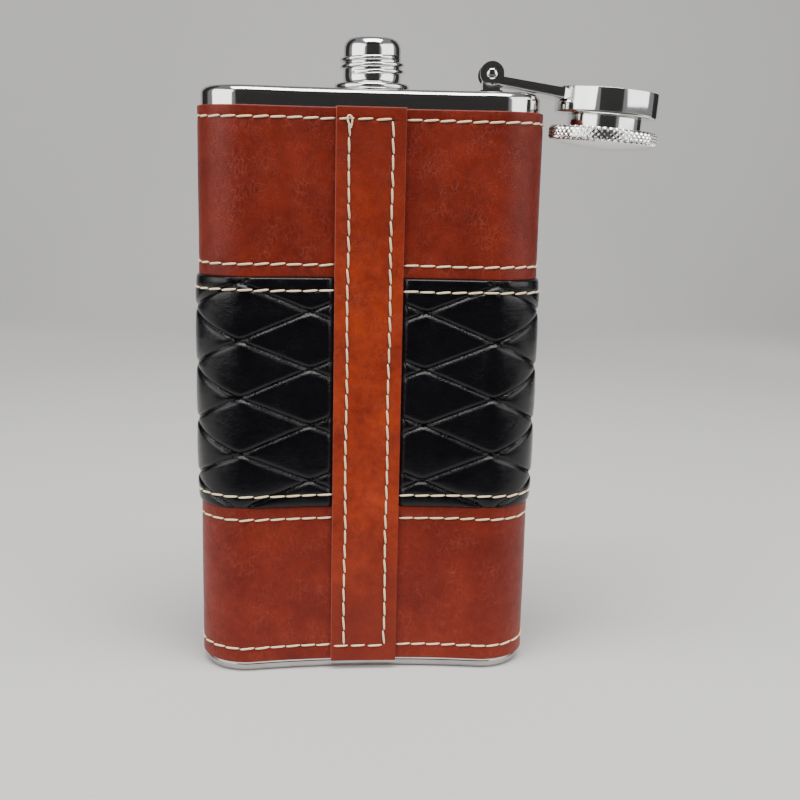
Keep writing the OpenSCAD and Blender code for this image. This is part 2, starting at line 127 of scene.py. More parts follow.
def finish_mesh(name, mesh, material, body, nodes, sharp):
    work = bmesh.new()
    work.from_mesh(mesh)
    if work.calc_volume(signed=True) < 0:
        bmesh.ops.reverse_faces(work, faces=work.faces)
    open_edges = sum(1 for edge in work.edges if len(edge.link_faces) != 2)
    work.to_mesh(mesh)
    work.free()
    mesh.polygons.foreach_set("use_smooth", [True] * len(mesh.polygons))
    mesh.set_sharp_from_angle(angle=math.radians(sharp))
    mesh.materials.clear()
    mesh.materials.append(material)
    piece = bpy.data.objects.new(name, mesh)
    bpy.context.scene.collection.objects.link(piece)
    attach(piece, body)
    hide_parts(*nodes)
    print("%-18s %6d faces, %d open edges" % (name, len(mesh.polygons), open_edges))
    return piece


print("pieces can be made")

# %% [markdown]
# ## Grids and closed shells
# A grid of points becomes quads. Where a row shrinks to one point, its quads become triangles.

# %% Helpers for grids of points
def outward_volume(points, faces):
    """The volume inside a closed shell, below zero if its faces look inward."""
    points = np.asarray(points, float)
    total = 0.0
    for face in faces:
        first = points[face[0]]
        for b, c in zip(face[1:-1], face[2:]):
            total += np.dot(first, np.cross(points[b], points[c]))
    return total / 6


def grid_faces(rows, columns, wrap_rows=False, wrap_columns=False, first=0):
    """Quads between neighbouring rows and columns of a grid of points."""
    i, j = np.meshgrid(np.arange(rows if wrap_rows else rows - 1),
                       np.arange(columns if wrap_columns else columns - 1), indexing="ij")
    i, j = i.ravel(), j.ravel()
    i2, j2 = (i + 1) % rows, (j + 1) % columns
    quads = np.stack([i * columns + j, i * columns + j2, i2 * columns + j2, i2 * columns + j], 1)
    return (quads + first).tolist()


def close_poles(points, faces, rings):
    """Turns each ring of equal points into one point, and its quads into triangles."""
    points = np.asarray(points, float)
    where = np.arange(len(points))
    for ring in rings:
        where[ring] = ring[0]
    faces_out = []
    for face in faces:
        corners = []
        for corner in face:
            corner = int(where[corner])
            if corner not in corners:
                corners.append(corner)
        if len(corners) > 2:
            faces_out.append(corners)
    used = sorted({corner for face in faces_out for corner in face})
    kept = {old: new for new, old in enumerate(used)}
    return points[used], [[kept[corner] for corner in face] for face in faces_out]


print("grids can be closed")

# %% [markdown]
# ## Turned parts
# A lathe makes a part from one outline, so a turned piece is a profile swept round an axis.

# %% Helpers for turned parts
def revolve(name, radius, height, place, material, body, nodes, slot, steps=128, sharp=38, extra=None):
    """A turned part: a profile of (radius, height) about the Z axis of `place`, and an extra closed shell."""
    radius, height = np.asarray(radius, float), np.asarray(height, float)
    if radius.ndim == 1:
        radius = np.repeat(radius[:, None], steps, 1)
    if height.ndim == 1:
        height = np.repeat(height[:, None], radius.shape[1], 1)
    rows, columns = radius.shape
    turn = np.linspace(0, 2 * math.pi, columns, endpoint=False)
    points = np.stack([radius * np.cos(turn), radius * np.sin(turn), height], -1).reshape(-1, 3)
    on_axis = [row for row in range(rows) if radius[row].max() < 1e-9]
    faces = grid_faces(rows, columns, wrap_rows=not on_axis, wrap_columns=True)
    if on_axis:
        rings = [np.arange(row * columns, (row + 1) * columns) for row in on_axis]
        points, faces = close_poles(points, faces, rings)
    if outward_volume(points, faces) < 0:
        faces = [face[::-1] for face in faces]
    if extra:
        faces = faces + [[corner + len(points) for corner in face] for face in extra[1]]
        points = np.concatenate([points, extra[0]])
    matrix = np.array(place)
    points = points @ matrix[:3, :3].T + matrix[:3, 3]
    return finish_piece(name, points, faces, material, body, nodes, slot, sharp)


def rounded(corners, steps=5):
    """A profile's points, with each (r, z, fillet) corner rounded by its fillet."""
    result = []
    count = len(corners)
    for k, (r, z, fillet) in enumerate(corners):
        here = np.array([r, z])
        if not fillet:
            result.append(here)
            continue
        before = np.array(corners[k - 1][:2]) - here
        after = np.array(corners[(k + 1) % count][:2]) - here
        before, after = before / np.linalg.norm(before), after / np.linalg.norm(after)
        a, b = here + before * fillet, here + after * fillet
        for t in np.linspace(0, 1, steps):
            result.append((1 - t) ** 2 * a + 2 * t * (1 - t) * here + t ** 2 * b)
    result = np.array(result)
    return result[:, 0], result[:, 1]


print("profiles can be turned")

# %% [markdown]
# ## Materials
# A node tree is easier to read as short lines of code. Shared effects are node groups that give
# colours, masks and heights, and each material feeds them to its own shader.

# %% Node helpers
def feed(tree, socket, value):
    """Links a node's output to a socket, or sets the socket to a plain value or colour."""
    if isinstance(value, bpy.types.NodeSocket):
        tree.links.new(value, socket)
    elif socket.type == "RGBA":
        socket.default_value = (*value, 1.0)
    else:
        socket.default_value = value


def put(tree, kind, inputs=None, **properties):
    node = tree.nodes.new(kind)
    for key, value in properties.items():
        setattr(node, key, value)
    for key, value in (inputs or {}).items():
        feed(tree, node.inputs[key], value)
    return node


def maths(tree, operation, a, b=0.0):
    return put(tree, "ShaderNodeMath", {0: a, 1: b}, operation=operation).outputs[0]


def times(tree, a, b):
    return maths(tree, "MULTIPLY", a, b)


def plus(tree, a, b):
    return maths(tree, "ADD", a, b)


def spread(tree, value, low, high, to_low=0.0, to_high=1.0):
    return put(tree, "ShaderNodeMapRange", {"Value": value, "From Min": low, "From Max": high,
                                            "To Min": to_low, "To Max": to_high}).outputs["Result"]


def mix_colour(tree, factor, a, b):
    return put(tree, "ShaderNodeMix", {0: factor, 6: a, 7: b}, data_type="RGBA").outputs[2]


def noise(tree, vector, scale, detail=3.0, roughness=0.55):
    return put(tree, "ShaderNodeTexNoise", {"Vector": vector, "Scale": scale, "Detail": detail,
                                            "Roughness": roughness}).outputs["Fac"]


print("nodes can be put down")

# %% [markdown]
# ## Groups and materials
# Each new group gets its named sockets, and each new material starts as one plain shader that is
# then dressed with a colour, a roughness and a relief.

# %% Group and material helpers
def new_group(name, outputs, inputs=()):
    group = bpy.data.node_groups.new(name, "ShaderNodeTree")
    for socket, kind, value in inputs:
        group.interface.new_socket(name=socket, in_out="INPUT", socket_type=kind).default_value = value
    for socket, kind in outputs:
        group.interface.new_socket(name=socket, in_out="OUTPUT", socket_type=kind)
    return group, group.nodes.new("NodeGroupInput"), group.nodes.new("NodeGroupOutput")


def new_material(name):
    material = bpy.data.materials.new(name)
    material.use_nodes = True
    tree = material.node_tree
    return material, tree, tree.nodes["Principled BSDF"]


def object_place(tree):
    return put(tree, "ShaderNodeTexCoord").outputs["Object"]


def kept_place(tree, name):
    """A place that the mesh itself carries, so a pattern follows the surface."""
    return put(tree, "ShaderNodeAttribute", attribute_name=name).outputs["Vector"]


def dress(tree, shader, colour, roughness, height, relief):
    """Gives a material's own shader its colour, roughness and fine relief."""
    feed(tree, shader.inputs["Base Color"], colour)
    feed(tree, shader.inputs["Roughness"], roughness)
    bump = put(tree, "ShaderNodeBump", {"Height": height, "Distance": relief})
    feed(tree, shader.inputs["Normal"], bump.outputs["Normal"])


print("materials can be dressed")

# %% [markdown]
# ## What a leather surface has
# The leather is coated: a plain colour under a soft sheen. Rolling and folding it leaves fine pale
# creases, the dye lies in soft patches, and pores show close up. The cut edge is painted paler than the
# face: partly the raw cut's own colour, partly a painted sheen for light glancing along the edge.

# %% Leather node group
leather_group, leather_in, leather_out = new_group(
    "Leather surface",
    [("Patches", "NodeSocketFloat"), ("Creases", "NodeSocketFloat"), ("Roughness", "NodeSocketFloat"),
     ("Height", "NodeSocketFloat"), ("Cut edge", "NodeSocketFloat")],
    [("Crease size", "NodeSocketFloat", 420.0), ("Sheen", "NodeSocketFloat", 0.42)])
tree = leather_group
place = object_place(tree)
wander = put(tree, "ShaderNodeTexNoise", {"Vector": place, "Scale": 420.0, "Detail": 4.0}).outputs["Color"]
bent = put(tree, "ShaderNodeVectorMath", {0: wander, 1: (0.0030, 0.0030, 0.0030)}, operation="MULTIPLY")
bent = put(tree, "ShaderNodeVectorMath", {0: bent.outputs[0], 1: place}, operation="ADD").outputs[0]
# creases run long and slanting, so their cells are stretched along the flask before they are drawn
stretched = put(tree, "ShaderNodeMapping", {"Vector": bent, "Rotation": (0.0, 0.5, 0.0),
                                            "Scale": (1.0, 1.0, 0.38)}).outputs[0]
cells = put(tree, "ShaderNodeTexVoronoi", {"Vector": stretched, "Scale": leather_in.outputs["Crease size"]},
            feature="DISTANCE_TO_EDGE").outputs["Distance"]
fine_cells = put(tree, "ShaderNodeTexVoronoi", {"Vector": bent, "Scale": 1500.0},
                 feature="DISTANCE_TO_EDGE").outputs["Distance"]
fine_lines = spread(tree, fine_cells, 0.0, 0.16, 1.0, 0.0)
broken = spread(tree, noise(tree, place, 150.0, 5.0, 0.7), 0.42, 0.72)
creases = times(tree, spread(tree, cells, 0.0, 0.09, 1.0, 0.0), broken)
patches = plus(tree, times(tree, noise(tree, place, 70.0, 4.0, 0.6), 0.7),
               times(tree, noise(tree, place, 420.0, 3.0, 0.6), 0.3))
pores = times(tree, noise(tree, place, 2600.0, 2.0), 0.35)
height = plus(tree, times(tree, creases, -0.55), plus(tree, times(tree, fine_lines, -0.3), pores))
uneven = times(tree, maths(tree, "SUBTRACT", noise(tree, place, 260.0, 3.0), 0.5), 0.3)
edge = put(tree, "ShaderNodeAttribute", attribute_name="cut_edge").outputs["Fac"]
for socket, value in (("Patches", spread(tree, patches, 0.33, 0.67)), ("Creases", creases),
                      ("Height", height), ("Cut edge", edge),
                      ("Roughness", plus(tree, leather_in.outputs["Sheen"], uneven))):
    feed(tree, leather_out.inputs[socket], value)
print("leather group:", len(tree.nodes), "nodes")

# %% [markdown]
# ## Three leathers
# One function makes all three. The wrap is red-brown, the strap is lighter along its middle and
# darker towards its top and bottom ends, and the band is a smoother black.

# %% Brown, strap and black leather
HALF_WAY_UP = 78 * MM


def darker_ends(tree, amount):
    """0 along the strap's middle, rising to `amount` at its ends."""
    up = put(tree, "ShaderNodeSeparateXYZ", {"Vector": kept_place(tree, "flat_place")}).outputs["Y"]
    from_middle = maths(tree, "ABSOLUTE", maths(tree, "SUBTRACT", up, HALF_WAY_UP))
    return spread(tree, from_middle, 30 * MM, 68 * MM, 0.0, amount)


def leather(name, dark, light, crease, cut, crease_size, crease_amount, sheen, gloss, relief=0.08 * MM,
            end_darkening=0.0):
    material, tree, shader = new_material(name)
    surface = put(tree, "ShaderNodeGroup", node_tree=leather_group)
    surface.inputs["Crease size"].default_value = crease_size
    surface.inputs["Sheen"].default_value = sheen
    colour = mix_colour(tree, surface.outputs["Patches"], dark, light)
    colour = mix_colour(tree, times(tree, surface.outputs["Creases"], crease_amount), colour, crease)
    # The strap's colour is made darker towards its top and bottom ends.
    if end_darkening:
        colour = mix_colour(tree, darker_ends(tree, end_darkening), colour, dark)
    # The cut edge is painted paler: the raw cut's own colour, and a painted sheen for light glancing along
    # the edge.
    colour = mix_colour(tree, surface.outputs["Cut edge"], colour, cut)
    dress(tree, shader, colour, surface.outputs["Roughness"], surface.outputs["Height"], relief)
    shader.inputs["Specular IOR Level"].default_value = gloss
    return material


brown = leather("Brown leather", (0.112, 0.0098, 0.0049), (0.205, 0.0215, 0.0096), (0.40, 0.095, 0.055),
                (0.42, 0.14, 0.11), crease_size=900.0, crease_amount=0.34, sheen=0.38, gloss=0.2)
tan_strap = leather("Strap leather", (0.135, 0.0115, 0.0055), (0.375, 0.042, 0.0100), (0.50, 0.12, 0.05),
                    (0.50, 0.18, 0.14), crease_size=1000.0, crease_amount=0.22, sheen=0.36, gloss=0.24,
                    end_darkening=0.75)
black = leather("Black leather", (0.0018, 0.0015, 0.0024), (0.0036, 0.0031, 0.0046), (0.010, 0.009, 0.011),
                (0.03, 0.03, 0.03), crease_size=1500.0, crease_amount=0.4, sheen=0.18, gloss=0.30,
                relief=0.04 * MM)
print("leather:", brown.name, tan_strap.name, black.name)

# %% [markdown]
# ## Polished steel
# The steel is polished, so most of its look is what it reflects. Handling leaves faint smudges and
# hair scratches. The base is painted darker, as painted shade for its contact shadow on the floor.

# %% Steel
steel_group, _, steel_out = new_group(
    "Polished steel", [("Roughness", "NodeSocketFloat"), ("Height", "NodeSocketFloat"),
                       ("Smudge", "NodeSocketFloat")])
tree = steel_group
place = object_place(tree)
smudge = spread(tree, noise(tree, place, 130.0, 4.0, 0.6), 0.42, 0.72)
long_place = put(tree, "ShaderNodeMapping", {"Vector": place, "Scale": (1.0, 1.0, 0.06)}).outputs[0]
hairs = spread(tree, noise(tree, long_place, 5200.0, 2.0, 0.7), 0.60, 0.80)
rough = plus(tree, times(tree, smudge, 0.09), times(tree, hairs, 0.05))
dents = noise(tree, place, 55.0, 2.0)
for socket, value in (("Roughness", plus(tree, rough, 0.07)),
                      ("Height", plus(tree, dents, times(tree, hairs, -0.004))), ("Smudge", smudge)):
    feed(tree, steel_out.inputs[socket], value)


def steel(name, clean, dull, relief):
    material, tree, shader = new_material(name)
    surface = put(tree, "ShaderNodeGroup", node_tree=steel_group)
    colour = mix_colour(tree, surface.outputs["Smudge"], clean, dull)
    dress(tree, shader, colour, surface.outputs["Roughness"], surface.outputs["Height"], relief)
    shader.inputs["Metallic"].default_value = 1.0
    return material


sheet_steel = steel("Sheet steel", (0.70, 0.69, 0.67), (0.60, 0.59, 0.58), 0.4 * MM)
# The base steel's colour is painted darker: painted shade for the contact shadow where it stands on the
# floor.
shaded_base_steel = steel("Base steel", (0.44, 0.43, 0.42), (0.34, 0.33, 0.32), 0.4 * MM)
turned_steel = steel("Turned steel", (0.78, 0.775, 0.76), (0.66, 0.655, 0.64), 0.1 * MM)
print("steel:", sheet_steel.name, shaded_base_steel.name, turned_steel.name)

# %% [markdown]
# ## Thread
# The thread is two waxed plies twisted together, which shows as slanting ridges along each stitch.

# %% Waxed thread
def waxed_thread():
    material, tree, shader = new_material("Waxed thread")
    split = put(tree, "ShaderNodeSeparateXYZ", {"Vector": kept_place(tree, "stitch_place")})
    slant = plus(tree, times(tree, split.outputs["X"], 5200.0), times(tree, split.outputs["Y"], 6800.0))
    ply = maths(tree, "ABSOLUTE", maths(tree, "SINE", slant))
    fibre = noise(tree, object_place(tree), 5200.0, 2.0)
    # The colour darkens in the grooves between the plies: painted shade, mixed with the fibre's random tone.
    ply_shade_and_fibre = plus(tree, times(tree, ply, 0.6), times(tree, fibre, 0.4))
    colour = mix_colour(tree, ply_shade_and_fibre, (0.74, 0.52, 0.27), (1.0, 0.89, 0.62))
    dress(tree, shader, colour, spread(tree, fibre, 0.2, 0.8, 0.5, 0.75), ply_shade_and_fibre, 0.12 * MM)
    return material


thread_mat = waxed_thread()
print("thread:", thread_mat.name)

# %% [markdown]
# ## Cloth, foam and rubber
# These three are out of sight when the flask is whole, but each piece still has its own material: a
# plain weave, a foam with small bubbles, and a seal with a faint bloom.

# %% Backing cloth, foam and seal
def backing_cloth():
    material, tree, shader = new_material("Backing cloth")
    flat = kept_place(tree, "flat_place")
    yarns = [put(tree, "ShaderNodeTexWave", {"Vector": flat, "Scale": 220.0, "Distortion": 0.4},
                 bands_direction=way).outputs["Fac"] for way in ("X", "Y")]
    weave = maths(tree, "MAXIMUM", *yarns)
    # The colour is painted darker between the yarns, where the weave's bump dips: painted shade.
    dress(tree, shader, mix_colour(tree, weave, (0.20, 0.15, 0.10), (0.52, 0.44, 0.33)), 0.9, weave, 0.1 * MM)
    return material


def foam_padding():
    material, tree, shader = new_material("Foam padding")
    cells = put(tree, "ShaderNodeTexVoronoi", {"Vector": object_place(tree), "Scale": 2500.0})
    bubbles = cells.outputs["Distance"]
    # The colour is painted darker inside each bubble, where the bump dips: painted shade.
    colour = mix_colour(tree, bubbles, (0.16, 0.16, 0.16), (0.40, 0.40, 0.39))
    dress(tree, shader, colour, 0.95, bubbles, 0.1 * MM)
    return material


def seal_rubber():
    material, tree, shader = new_material("Seal rubber")
    bloom = noise(tree, object_place(tree), 900.0, 3.0)
    colour = mix_colour(tree, bloom, (0.60, 0.58, 0.54), (0.80, 0.79, 0.75))
    dress(tree, shader, colour, spread(tree, bloom, 0.3, 0.7, 0.45, 0.65), bloom, 0.03 * MM)
    return material


cloth_mat, foam_mat, rubber_mat = backing_cloth(), foam_padding(), seal_rubber()
print("hidden materials:", cloth_mat.name, foam_mat.name, rubber_mat.name)

# %% [markdown]
# ## The steel body
# The body is a bent tube of thin sheet. A pressed top with a rolled shoulder and a pressed base are
# welded to it. A fine groove shows where the base was welded on and polished back.

# %% Body shell, top and base
SHEET = 0.6 * MM
TOP_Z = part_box("top_plate")[1].z
TOP_RIM_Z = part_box("top_plate")[0].z
BASE_RIM_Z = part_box("base_plate")[1].z
SHOULDER_R, BASE_EDGE_R, SPIGOT_R = 2 * MM, 1.3 * MM, 6 * MM
ring_s = np.concatenate([np.linspace(a, b, n, endpoint=False) for a, b, n in
                         zip(STARTS[:-1], STARTS[1:], (36, 72, 72, 72, 36))])


def level(out, z):
    x, y = around(ring_s, out)[:2]
    return np.stack([x, y, np.full_like(x, z)], 1)


def round_level(radius, z):
    x, y = around(ring_s, -2 * MM)[:2]
    far = np.hypot(x, y)
    return np.stack([x / far * radius, y / far * radius, np.full_like(x, z)], 1)


def loft(name, levels, material, body, nodes, slot, poles=False):
    count = len(ring_s)
    points = np.concatenate(levels)
    faces = grid_faces(len(levels), count, wrap_rows=not poles, wrap_columns=True)
    if poles:
        last = len(levels) - 1
        rings = [np.arange(count), np.arange(last * count, (last + 1) * count)]
        points, faces = close_poles(points, faces, rings)
    return finish_piece(name, points, faces, material, body, nodes, slot)


groove = 0.25 * MM
loft("shell_steel", [level(-groove, BASE_RIM_Z), level(-groove, BASE_RIM_Z + 0.1 * MM),
                     level(-0.08 * MM, BASE_RIM_Z + 0.2 * MM), level(0, BASE_RIM_Z + 0.32 * MM),
                     level(0, BASE_RIM_Z + 0.6 * MM), level(0, TOP_RIM_Z - 0.3 * MM), level(0, TOP_RIM_Z),
                     level(-SHEET, TOP_RIM_Z), level(-SHEET, BASE_RIM_Z)],
     sheet_steel, "flask", ["body_shell"], "steel")
quarter = np.radians(np.linspace(0, 90, 9))
shoulder = [level(SHOULDER_R * (math.cos(t) - 1), TOP_Z - SHOULDER_R + SHOULDER_R * math.sin(t))
            for t in quarter]
loft("top_steel", [level(0, TOP_RIM_Z)] + shoulder +
     [level(-2.3 * MM, TOP_Z), round_level(SPIGOT_R + 0.4 * MM, TOP_Z), round_level(SPIGOT_R, TOP_Z),
      round_level(SPIGOT_R, TOP_Z - SHEET), level(-SHOULDER_R, TOP_Z - SHEET),
      level(-SHEET, TOP_Z - SHOULDER_R), level(-SHEET, TOP_RIM_Z)],
     sheet_steel, "flask", ["top_plate"], "steel")
edge = [level(BASE_EDGE_R * (math.cos(t) - 1), BASE_EDGE_R * (1 - math.sin(t))) for t in quarter[::-1]]
loft("base_steel", [round_level(0, 0), level(-1.7 * MM, 0)] + edge +
     [level(0, BASE_RIM_Z), level(-SHEET, BASE_RIM_Z), level(-SHEET, SHEET), round_level(0, SHEET)],
     shaded_base_steel, "flask", ["base_plate"], "steel", poles=True)

# %% [markdown]
# ## The neck
# The neck is turned from bar: a round flange, a plain stem and a rolled lip, with a screw thread
# between them. The thread is one ridge that climbs as it winds, so a small rounded section is swept
# along a helix and its foot is sunk in the stem.

# %% Neck with its thread
NECK_R, BORE_R, FLANGE_R, FLANGE_H = 7.5 * MM, 5 * MM, 9.9 * MM, 1.8 * MM
NECK_H, LIP_IN, LIP_DOWN = 13.1 * MM, 2 * MM, 3 * MM
PITCH, THREAD_Z, THREAD_LEN, THREAD_TURN = 1.7 * MM, 4.3 * MM, 3.9 * MM, math.radians(225)


def thread_ridge(foot_r, crest_r, start, low, high, root, crest):
    """Points and faces of a closed helical ridge, in step with one that starts at height `start`."""
    steps = int((high - low) / PITCH * 96)
    z = np.linspace(low, high, steps)
    turn = THREAD_TURN + 2 * math.pi * (z - start) / PITCH
    fade = np.clip(np.minimum(np.arange(steps), np.arange(steps)[::-1]) / 12, 0.05, 1)
    side = np.sign(crest_r - foot_r)
    shape = [(-0.25, -root / 2), (0.12, -root / 2 * 0.92), (0.55, -(root + crest) / 4), (0.9, -crest / 2),
             (1.0, -crest / 4), (1.0, crest / 4), (0.9, crest / 2), (0.55, (root + crest) / 4),
             (0.12, root / 2 * 0.92), (-0.25, root / 2)]
    rise = abs(crest_r - foot_r)
    points = []
    for share, offset in shape:
        lifted = foot_r + side * rise * (share * fade if share > 0 else share)
        points.append(np.stack([lifted * np.cos(turn), lifted * np.sin(turn), z + offset], 1))
    points = np.stack(points, 1)
    count = len(shape)
    faces = grid_faces(steps, count, wrap_columns=True)
    faces += [list(range(count))[::-1], [(steps - 1) * count + k for k in range(count)]]
    if side < 0:
        faces = [face[::-1] for face in faces]
    return points.reshape(-1, 3), faces


lip = [(NECK_R - LIP_IN + LIP_IN * math.cos(t), NECK_H - LIP_DOWN + LIP_DOWN * math.sin(t))
       for t in np.radians(np.linspace(0, 90, 12))]
stem_z = np.arange(3.4, 9.6, 1.0) * MM
flange = [(FLANGE_R - FLANGE_H / 2 + FLANGE_H / 2 * math.cos(t), FLANGE_H / 2 + FLANGE_H / 2 * math.sin(t))
          for t in np.radians(np.linspace(-90, 90, 11))]
profile = ([(BORE_R, -SHEET), (SPIGOT_R, -SHEET), (SPIGOT_R, 0)] + flange +
           [(NECK_R + 0.25 * MM, FLANGE_H), (NECK_R, FLANGE_H + 0.25 * MM)] + [(NECK_R, z) for z in stem_z] +
           lip + [(BORE_R + 0.1 * MM, NECK_H), (BORE_R, NECK_H - 0.12 * MM)])
ridge = thread_ridge(NECK_R, NECK_R + 0.9 * MM, THREAD_Z, THREAD_Z, THREAD_Z + THREAD_LEN,
                     1.5 * MM, 0.75 * MM)
revolve("neck_steel", *zip(*profile), Matrix.Translation((0, 0, TOP_Z)), turned_steel, "flask",
        ["neck_spout"], "steel", sharp=50, extra=ridge)

# %% [markdown]
# ## Where the lid goes
# The lid is drawn shut over the neck and then swung open about the hinge pin, by the angle that the
# frame's joint gives. The cap is also screwed out along its own axis.

# %% Places for the lid and the cap
hinge = joints["lid_hinge"]
pin_place = Vector(hinge["pos_m"])
open_turn = math.radians(hinge["range_deg"][1])
swing = (Matrix.Translation(pin_place) @ Matrix.Rotation(-open_turn, 4, Vector(hinge["axis"])) @
         Matrix.Translation(-pin_place))
yaw = math.atan2(pin_place.y, pin_place.x)
closed = Matrix.Translation((0, 0, TOP_Z)) @ Matrix.Rotation(yaw, 4, "Z")
lid_place = swing @ closed
cap_travel = joints["cap_travel"]["range_m"][1]
ring_place = lid_place @ Matrix.Translation((0, 0, cap_travel))
cap_place = ring_place @ Matrix.Rotation(math.radians(joints["cap_turn"]["range_deg"][1]), 4, "Z")
print("lid opens %.1f degrees, cap rises %.1f mm" % (math.degrees(open_turn), cap_travel / MM))

# %% [markdown]
# ## Hinge and arm
# The arm is pressed from sheet into a channel and the bracket is a small block. Their shapes are
# right in the frame, so each is copied, its loose triangles are joined, and its edges are eased the
# way tumbling eases them.

# %% Hinge bracket, arm and pin
def eased(node, name, ease, material, body):
    mesh = frame["nodes"][node].data.copy()
    for key in [a.name for a in mesh.attributes if a.name.startswith(("custom_normal", "sharp"))]:
        mesh.attributes.remove(mesh.attributes[key])
    work = bmesh.new()
    work.from_mesh(mesh)
    bmesh.ops.remove_doubles(work, verts=work.verts, dist=2e-6)
    bmesh.ops.dissolve_limit(work, angle_limit=math.radians(1.0), verts=work.verts, edges=work.edges)
    edges = [e for e in work.edges if len(e.link_faces) == 2 and e.calc_face_angle() > math.radians(30)]
    bmesh.ops.bevel(work, geom=edges, offset=ease, segments=2, profile=0.6, affect="EDGES",
                    clamp_overlap=True)
    bmesh.ops.recalc_face_normals(work, faces=work.faces)
    work.to_mesh(mesh)
    work.free()
    return finish_mesh(name, mesh, material, body, [node], 25)


eased("hinge_bracket", "bracket_steel", 0.14 * MM, turned_steel, "flask")
eased("lid_arm", "arm_steel", 0.12 * MM, turned_steel, "lid")
PIN_R = 1.35 * MM
pin_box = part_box("hinge_pin")
pin_half = (pin_box[1].y - pin_box[0].y - 2 * PIN_R * abs(math.sin(yaw))) / 2 / math.cos(yaw)
across_pin = (closed @ Matrix.Translation((pin_place.xy.length, 0, pin_place.z - TOP_Z)) @
              Matrix.Rotation(math.pi / 2, 4, "X"))
pin_r = np.array([0, 0.5, 0.85, 1, 1, 0.85, 0.5, 0]) * PIN_R
pin_z = np.array([-1, -0.98, -0.95, -0.91, 0.91, 0.95, 0.98, 1]) * pin_half
revolve("pin_steel", pin_r, pin_z, across_pin, turned_steel, "flask", ["hinge_pin"], "steel", steps=64)

# %% [markdown]
# ## Cup, sleeve and cap
# The cup is a shallow pressed dish that the arm carries. The threaded sleeve turns in a hole in its
# floor, held by a ring, and is pressed into the knurled head that the fingers turn.

# %% Cup, retaining ring and sleeve
CUP_R, CUP_H, CUP_WALL, CUP_FLOOR = 13.45 * MM, 6.6 * MM, 0.9 * MM, 1.0 * MM
SLEEVE_BORE, SLEEVE_R, FIT, PLAY = 8.7 * MM, 9.7 * MM, 0.07 * MM, 0.06 * MM
RIM_Z = NECK_H - 0.2 * MM - CUP_H
CUP_TOP = RIM_Z + CUP_H
fine = 0.15 * MM
r, z = rounded([(SLEEVE_R + FIT, CUP_TOP, fine), (CUP_R, CUP_TOP, 0.8 * MM), (CUP_R, RIM_Z, fine),
                (CUP_R - CUP_WALL, RIM_Z, fine), (CUP_R - CUP_WALL, CUP_TOP - CUP_FLOOR, 0.3 * MM),
                (SLEEVE_R + FIT, CUP_TOP - CUP_FLOOR, fine)])
revolve("cup_steel", r, z, lid_place, turned_steel, "lid", ["cap_cup"], "steel", steps=160, sharp=50)
RING_Z1 = CUP_TOP - CUP_FLOOR - PLAY - cap_travel
RING_IN = SLEEVE_R - 0.45 * MM
RING_Z0, RING_OUT, ring_ease = RING_Z1 - 0.8 * MM, RING_IN + 1.65 * MM, 0.08 * MM
r, z = rounded([(RING_IN + FIT, RING_Z0, ring_ease), (RING_OUT, RING_Z0, ring_ease),
                (RING_OUT, RING_Z1, ring_ease), (RING_IN + FIT, RING_Z1, ring_ease)], 3)
revolve("ring_steel", r, z, ring_place, sheet_steel, "cap_carrier", ["retaining_ring"], "steel", sharp=50)

MOUTH_Z = THREAD_Z + THREAD_LEN + 0.45 * MM + 0.3 * MM - cap_travel
sleeve_top = NECK_H + 0.8 * MM
inner_z = np.arange(MOUTH_Z + 0.2 * MM, MOUTH_Z + 4.6 * MM, 1.0 * MM)
low, high = RING_Z0 - PLAY, RING_Z1 + PLAY
profile = ([(SLEEVE_BORE, sleeve_top), (SLEEVE_R, sleeve_top), (SLEEVE_R, high + 0.01 * MM), (RING_IN, high),
            (RING_IN, low), (SLEEVE_R, low - 0.01 * MM), (SLEEVE_R, MOUTH_Z + 0.12 * MM),
            (SLEEVE_R - 0.12 * MM, MOUTH_Z), (SLEEVE_BORE + 0.12 * MM, MOUTH_Z)] +
           [(SLEEVE_BORE, v) for v in inner_z])
ridge = thread_ridge(SLEEVE_BORE, SLEEVE_BORE - 0.7 * MM, THREAD_Z - PITCH / 2, MOUTH_Z + 0.8 * MM,
                     MOUTH_Z + THREAD_LEN, 0.8 * MM, 0.4 * MM)
revolve("sleeve_steel", *zip(*profile), cap_place, turned_steel, "screw_cap", ["cap_sleeve"], "steel",
        sharp=50, extra=ridge)

# %% [markdown]
# The knurl is rolled: two sets of slanting grooves cross and leave small pyramids between them, so
# the height at any point is the smaller of two sawtooth waves.

# %% Knurled head and sealing disc
HEAD_R, HEAD_H, DOME_H, KNURLS = 14.2 * MM, 3.5 * MM, 1.8 * MM, 54
HEAD_Z, GASKET_T = NECK_H, 1.0 * MM
knurl_turns = np.linspace(0, 2 * math.pi, KNURLS * 10, endpoint=False)[None, :]
band_low, band_high = HEAD_Z + 0.3 * MM, HEAD_Z + HEAD_H - 0.3 * MM
side_z = np.linspace(band_low, band_high, 21)
dome_r = (HEAD_R ** 2 + DOME_H ** 2) / (2 * DOME_H)
dome = [(q, HEAD_Z + HEAD_H + DOME_H - dome_r + math.sqrt(dome_r ** 2 - q ** 2))
        for q in np.linspace(HEAD_R - 0.7 * MM, 0, 26)]
profile = ([(0, HEAD_Z + GASKET_T), (SLEEVE_BORE, HEAD_Z + GASKET_T), (SLEEVE_BORE, HEAD_Z + 0.8 * MM),
            (SLEEVE_R, HEAD_Z + 0.8 * MM), (SLEEVE_R, HEAD_Z), (HEAD_R - 0.75 * MM, HEAD_Z),
            (HEAD_R - 0.5 * MM, HEAD_Z + 0.06 * MM)] +
           [(HEAD_R, v) for v in side_z] + [(HEAD_R - 0.5 * MM, HEAD_Z + HEAD_H - 0.02 * MM)] + dome)
radius = np.repeat(np.array([p[0] for p in profile])[:, None], knurl_turns.size, 1)
height = np.repeat(np.array([p[1] for p in profile])[:, None], knurl_turns.size, 1)
rows = 2
step_up = (height - band_low) / (band_high - band_low) * rows
step_round = knurl_turns * KNURLS / (2 * math.pi)


def sawtooth(v):
    return 1 - np.abs(2 * (v - np.floor(v)) - 1)


